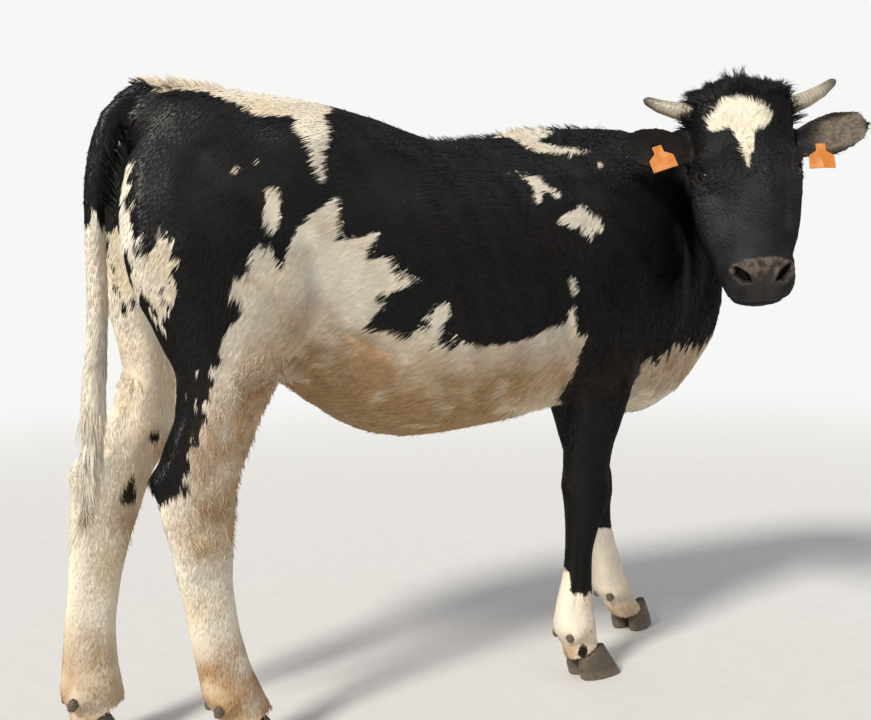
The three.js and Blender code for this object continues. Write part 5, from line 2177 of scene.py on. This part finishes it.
@dataclass
class Locks:
    """The long hair that breaks the outline, each lock a thin tapered tube."""

    coat: Coat
    points: int = 5
    sides: int = 3
    taper: float = 0.86
    softness: float = 0.35
    clump: float = 0.014
    gather: float = 0.58
    wisps: tuple[Wisp, ...] = (
        # poll, forelock and the roots of the horns
        Wisp(((-30, -60, -10, 36), (-30, 60, -10, 36)),
             2100, 0.026, 0.45, 0.2, 0.5, (0.1, 0, 0.05), True),
        Wisp(((-20, -20, 0, 16), (-20, 4, 0, 16)), 90, 0.034, 0.8, 0.0, 0.4, (0, -0.2, 0.9), True),
        *(Wisp(((-50, side * 80, -50, 32), (-40, side * 75, -20, 28)),
               600, 0.034, 0.6, 0.3, 0.4, (0, side * 0.5, -0.2), True)
          for side in (LEFT, RIGHT)),
        # forehead, ears and jaw
        Wisp(((0, -40, -50, 50), (0, 40, -50, 50), (10, 0, -160, 60)),
             900, 0.016, 0.4, 0.1, 0.4, on_head=True, thick=0.0006),
        *(Wisp(((-60, side * 120, -150, 30), (-20, side * 220, low, 40)),
               240, 0.013, 0.35, 0.4, on_head=True, thick=0.0004)
          for side, low in ((LEFT, -100), (RIGHT, -120))),
        *(Wisp(((-150, side * 30, -180, 50), (-140, side * 30, -360, 40)),
               300, 0.018, 0.3, 0.3, on_head=True, thick=0.0006)
          for side in (LEFT, RIGHT)),
        # tail head, dock and the hollow in front of the tail
        Wisp(((-430, -20, 1170, 35), (-530, -10, 1190, 30)), 200, 0.024, 0.6, 0.0, 0.3, (-0.4, 0, 0.1)),
        Wisp(((-540, -10, 1180, 22), (-620, -10, 1120, 22), (-660, -20, 1000, 20)), 420, 0.013, 0.35),
        Wisp(((-605, -10, 1090, 28), (-625, -15, 1000, 26)), 650, 0.034, 0.5, 0.1, 0.2, (0.8, 0, -0.5)),
        # withers, back, belly and brisket
        Wisp(((100, -20, 1100, 70), (300, -30, 1170, 70), (470, -80, 1200, 70)), 420, 0.028, 0.45, 0.0, 0.4),
        Wisp(((-400, 0, 1170, 40), (-200, 0, 1120, 50), (50, 0, 1100, 50)), 240, 0.02, 0.3, 0.1),
        Wisp(((-320, 0, 640, 130), (0, 0, 570, 150), (250, 0, 620, 130)), 420, 0.022, 0.12, 0.25, 0.4),
        Wisp(((450, -20, 680, 100), (620, -20, 740, 100), (680, -50, 860, 70)), 300, 0.026, 0.2, 0.25),
        # hind legs, elbows and the end of the tail
        Wisp(((-400, -140, 680, 60), (-450, -140, 550, 70), (-480, -130, 420, 60)),
             900, 0.017, 0.35, 0.2, 0.9, thick=0.0011),
        Wisp(((-560, 100, 640, 50), (-620, 100, 500, 60), (-580, 100, 400, 50)), 400, 0.016, 0.3, 0.3, 0.6),
        Wisp(((270, -120, 700, 50), (260, -110, 520, 40)), 260, 0.018, 0.3, 0.4),
        Wisp(((-655, -25, 640, 40), (-675, -30, 500, 50)), 1200, 0.07, 0.1, 0.5, 0.12),
    )

    def build(self, found: dict[Part, Roots], finish: Material) -> list[Object]:
        """Grows the locks among the roots of the short coat.

        Args:
            found: The roots by part.
            finish: The coat's material.

        Returns:
            One piece for each part that has long hair.
        """
        tree = self._tree()
        made = []
        for part, roots in found.items():
            rng = np.random.default_rng(self.coat.seed)
            stands = [stand for wisp in self.wisps if (stand := self._stand(wisp, roots, rng))]
            if not stands:
                continue
            chosen, paths, thick = (np.concatenate(rows) for rows in zip(*stands))
            ends = np.arange(len(chosen) * self.points).reshape(-1, self.points)
            pairs = np.stack([ends[:, :-1], ends[:, 1:]], 2).reshape(-1, 2)
            mesh = bpy.data.meshes.new("paths")
            mesh.from_pydata(paths.reshape(-1, 3), pairs.tolist(), [])
            steps = np.linspace(0, 1, self.points)
            along = np.tile(steps, len(chosen))
            store(mesh, "thick", (thick[:, None] * (1.0 - self.taper * steps**1.6)).ravel())
            store(mesh, "petal", np.stack([0 * along, along, 0 * along], 1))
            self.coat.carry(mesh, part, roots.choose(chosen), self.points)
            name = part.value.replace("coat", "locks")
            made.append(self.coat.evaluate(name, mesh, tree, {"Finish": finish}, self.softness))
            LOG.info("%s: %d locks, %d faces", name, len(chosen), len(made[-1].data.polygons))
        return made

    def _stand(self, wisp: Wisp, roots: Roots, rng: np.random.Generator) -> tuple[Array, Array, Array] | None:
        """Lays out one stand of hair on one part of the skin.

        Args:
            wisp: The stand.
            roots: The part's roots.
            rng: Draws the roots and what is irregular about the locks.

        Returns:
            The chosen roots, and the path and thickness of each lock, or None where the part has none of it.
        """
        coords = roots.at.head if wisp.on_head else roots.at.body
        inside = (chain_distance(coords, wisp.chain) > 0) & ((roots.at.masks["head"] > 0.5) == wisp.on_head)
        near = np.where(inside)[0]
        if len(near) < 25:
            return None
        chosen = rng.choice(near, min(wisp.count, len(near)), replace=False)
        place, normal, lie = roots.at.points[chosen], roots.normals[chosen], roots.lie[chosen]
        lean = np.array(wisp.lean)
        lean = self.coat.layout.turned(lean, to_head=False) if wisp.on_head else lean
        length = wisp.length * (0.45 + 0.75 * rng.random(len(chosen)))[:, None]
        side = unit(np.cross(normal, lie))
        swing = noise(place, 0.012, 61)[:, None] + 0.5 * rng.normal(size=(len(chosen), 1))
        start = unit(lie * (1 - 0.7 * wisp.rise) + normal * wisp.rise + lean + side * wisp.curl * swing)
        bend = np.array((0.0, 0.0, -wisp.fall)) + side * wisp.curl * rng.normal(size=(len(chosen), 1))
        bend = bend + lie * 0.3 * wisp.rise
        tip = place + length * (start + 0.5 * bend)
        leader = self.coat.clumps(place, self.clump)
        pull = (tip[leader] - tip) * self.gather
        steps = np.linspace(0, 1, self.points)[None, :, None]
        paths = place[:, None] + length[:, None] * (start[:, None] * steps + 0.5 * bend[:, None] * steps**2)
        paths = paths + pull[:, None] * steps**1.5 - 0.001 * normal[:, None] * (1 - steps)
        wave = np.sin(math.tau * (steps * 1.1 + rng.random((len(chosen), 1, 1)))) * steps
        paths = paths + side[:, None] * wave * length[:, None] * wisp.curl * 0.22
        return chosen, paths, wisp.thick * (0.7 + 0.6 * rng.random(len(chosen)))

    def _tree(self) -> NodeTree:
        """Turns each path into a tapered closed tube.

        Returns:
            The new tree.
        """
        group, tree, given = self.coat.hair_tree(
            "long_hair", ("Paths", "NodeSocketGeometry", None), ("Sides", "NodeSocketInt", self.sides))
        curves = tree.add("GeometryNodeMeshToCurve", {"Mesh": given["Paths"]}).outputs[0]
        circle = {"Resolution": given["Sides"], "Radius": 1.0}
        ring = tree.add("GeometryNodeCurvePrimitiveCircle", circle).outputs[0]
        share = tree.math("DIVIDE", tree.add("GeometryNodeInputIndex").outputs[0], given["Sides"])
        ring = tree.keep(ring, "around", share, "FLOAT")
        thick = tree.carried("thick", "FLOAT")
        shape = {"Curve": curves, "Profile Curve": ring, "Scale": thick, "Fill Caps": True}
        tubes = tree.add("GeometryNodeCurveToMesh", shape).outputs[0]
        turn = tree.add("ShaderNodeCombineXYZ", {"X": tree.carried("around", "FLOAT")}).outputs[0]
        tubes = tree.keep(tubes, "petal", tree.added(tree.carried("petal"), turn), "FLOAT_VECTOR")
        self.coat.close_tree(tree, tubes, given)
        return group


# ---------------- light, floor and camera
@dataclass
class Studio:
    """A pale floor that fades into a white surround, soft light and the camera."""

    floor_radius: float = 14.0
    key_travel: Triple = (0.81, 0.4, -0.72)
    key_strength: float = 3.05
    key_softness: float = 12.0
    key_colour: Triple = (1.0, 0.965, 0.9)
    fill: float = 0.43
    ground: Triple = (0.8, 0.79, 0.77)
    backdrop: Colour = (0.93, 0.93, 0.92, 1)
    camera_at: Triple = (-1.124, -2.008, 0.835)
    camera_turn: Triple = (30.006, -3.859, -0.97)
    lens: float = 47.446

    def build(self, layout: Layout) -> None:
        """Makes everything round the animal.

        Args:
            layout: Where the body stands.
        """
        self._floor()
        self._light()
        self._camera(layout)

    def _floor(self) -> None:
        """A round floor whose far part is as white as the surround."""
        mesh = bpy.data.meshes.new("floor")
        with editing(mesh) as work:
            bmesh.ops.create_circle(work, cap_ends=True, cap_tris=True, segments=96, radius=self.floor_radius)
        floor = new_object("floor", mesh)
        made, tree = new_material("floor")
        place = tree.add("ShaderNodeTexCoord").outputs["Object"]
        away = tree.add("ShaderNodeVectorMath", {0: place}, operation="LENGTH").outputs["Value"]
        far = tree.ramp(away, 2.2, 7.0)
        grain = tree.ramp(tree.noise(0.05, 5.0), 0.3, 0.7, 0.97, 1.0)
        tint = tree.scaled(self.ground, grain)
        near = tree.add("ShaderNodeBsdfPrincipled", {"Base Color": tint, "Roughness": 0.8}).outputs[0]
        seen = tree.add("ShaderNodeLightPath").outputs["Is Camera Ray"]
        glow = tree.add("ShaderNodeEmission", {"Color": self.backdrop, "Strength": 1.0}).outputs[0]
        both = tree.add("ShaderNodeMixShader", {0: tree.math("MULTIPLY", far, seen), 1: near, 2: glow})
        tree.add("ShaderNodeOutputMaterial", {"Surface": both.outputs[0]})
        mesh.materials.append(made)

    def _light(self) -> None:
        """A broad key from above one side, and even fill from the surround."""
        sun = bpy.data.lights.new("key", "SUN")
        sun.energy = self.key_strength
        sun.angle = math.radians(self.key_softness)
        sun.color = self.key_colour
        lamp = bpy.data.objects.new("key", sun)
        lamp.rotation_euler = Vector(self.key_travel).to_track_quat("-Z", "Y").to_euler()
        bpy.context.scene.collection.objects.link(lamp)
        world = bpy.data.worlds.new("surround")
        world.use_nodes = True
        tree = Tree.of(world.node_tree)
        path = tree.add("ShaderNodeLightPath").outputs
        lit = tree.add("ShaderNodeBackground", {"Color": (0.96, 0.97, 1.0, 1), "Strength": self.fill})
        shown = tree.add("ShaderNodeBackground", {"Color": self.backdrop, "Strength": 1.0})
        seen = tree.math("MAXIMUM", path["Is Camera Ray"], tree.math("MULTIPLY", path["Is Glossy Ray"], 0.2))
        both = tree.add("ShaderNodeMixShader", {0: seen, 1: lit.outputs[0], 2: shown.outputs[0]})
        tree.add("ShaderNodeOutputWorld", {"Surface": both.outputs[0]})
        bpy.context.scene.world = world

    def _camera(self, layout: Layout) -> None:
        """The camera, low beside the right hip.

        Args:
            layout: Where the body stands.
        """
        yaw, pitch, roll = (math.radians(angle) for angle in self.camera_turn)
        ahead = Vector((math.sin(yaw) * math.cos(pitch), math.cos(yaw) * math.cos(pitch), math.sin(pitch)))
        across = ahead.cross(Vector((0, 0, 1))).normalized()
        up = across.cross(ahead)
        right = across * math.cos(roll) + up * math.sin(roll)
        high = up * math.cos(roll) - across * math.sin(roll)
        matrix = Matrix((right, high, -ahead)).transposed().to_4x4()
        matrix.translation = Vector(layout.body_origin()) + Vector(self.camera_at)
        data = bpy.data.cameras.new("camera")
        data.sensor_width = 36.0
        data.lens = self.lens
        camera = bpy.data.objects.new("camera", data)
        camera.matrix_world = matrix
        bpy.context.scene.collection.objects.link(camera)
        bpy.context.scene.camera = camera


def main() -> None:
    """Builds the animal and its setting."""
    logging.basicConfig(level=logging.INFO, format="%(name)s: %(message)s")
    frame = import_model()
    bpy.context.scene.view_settings.view_transform = "Standard"
    layout = Layout()
    LOG.info("body origin %s", layout.body_origin())
    Studio().build(layout)
    markings = Markings()
    skin = Skin(layout, markings)
    hide = skin.build(frame["nodes"])
    Eyes(layout, skin.eyes).build()
    Horns(layout).build()
    Claws().build(frame["nodes"])
    Tags(layout).build(frame["nodes"])
    Coat(layout, markings).build(hide)
    LOG.info("all pieces are in place")


if __name__ == "__main__":
    main()
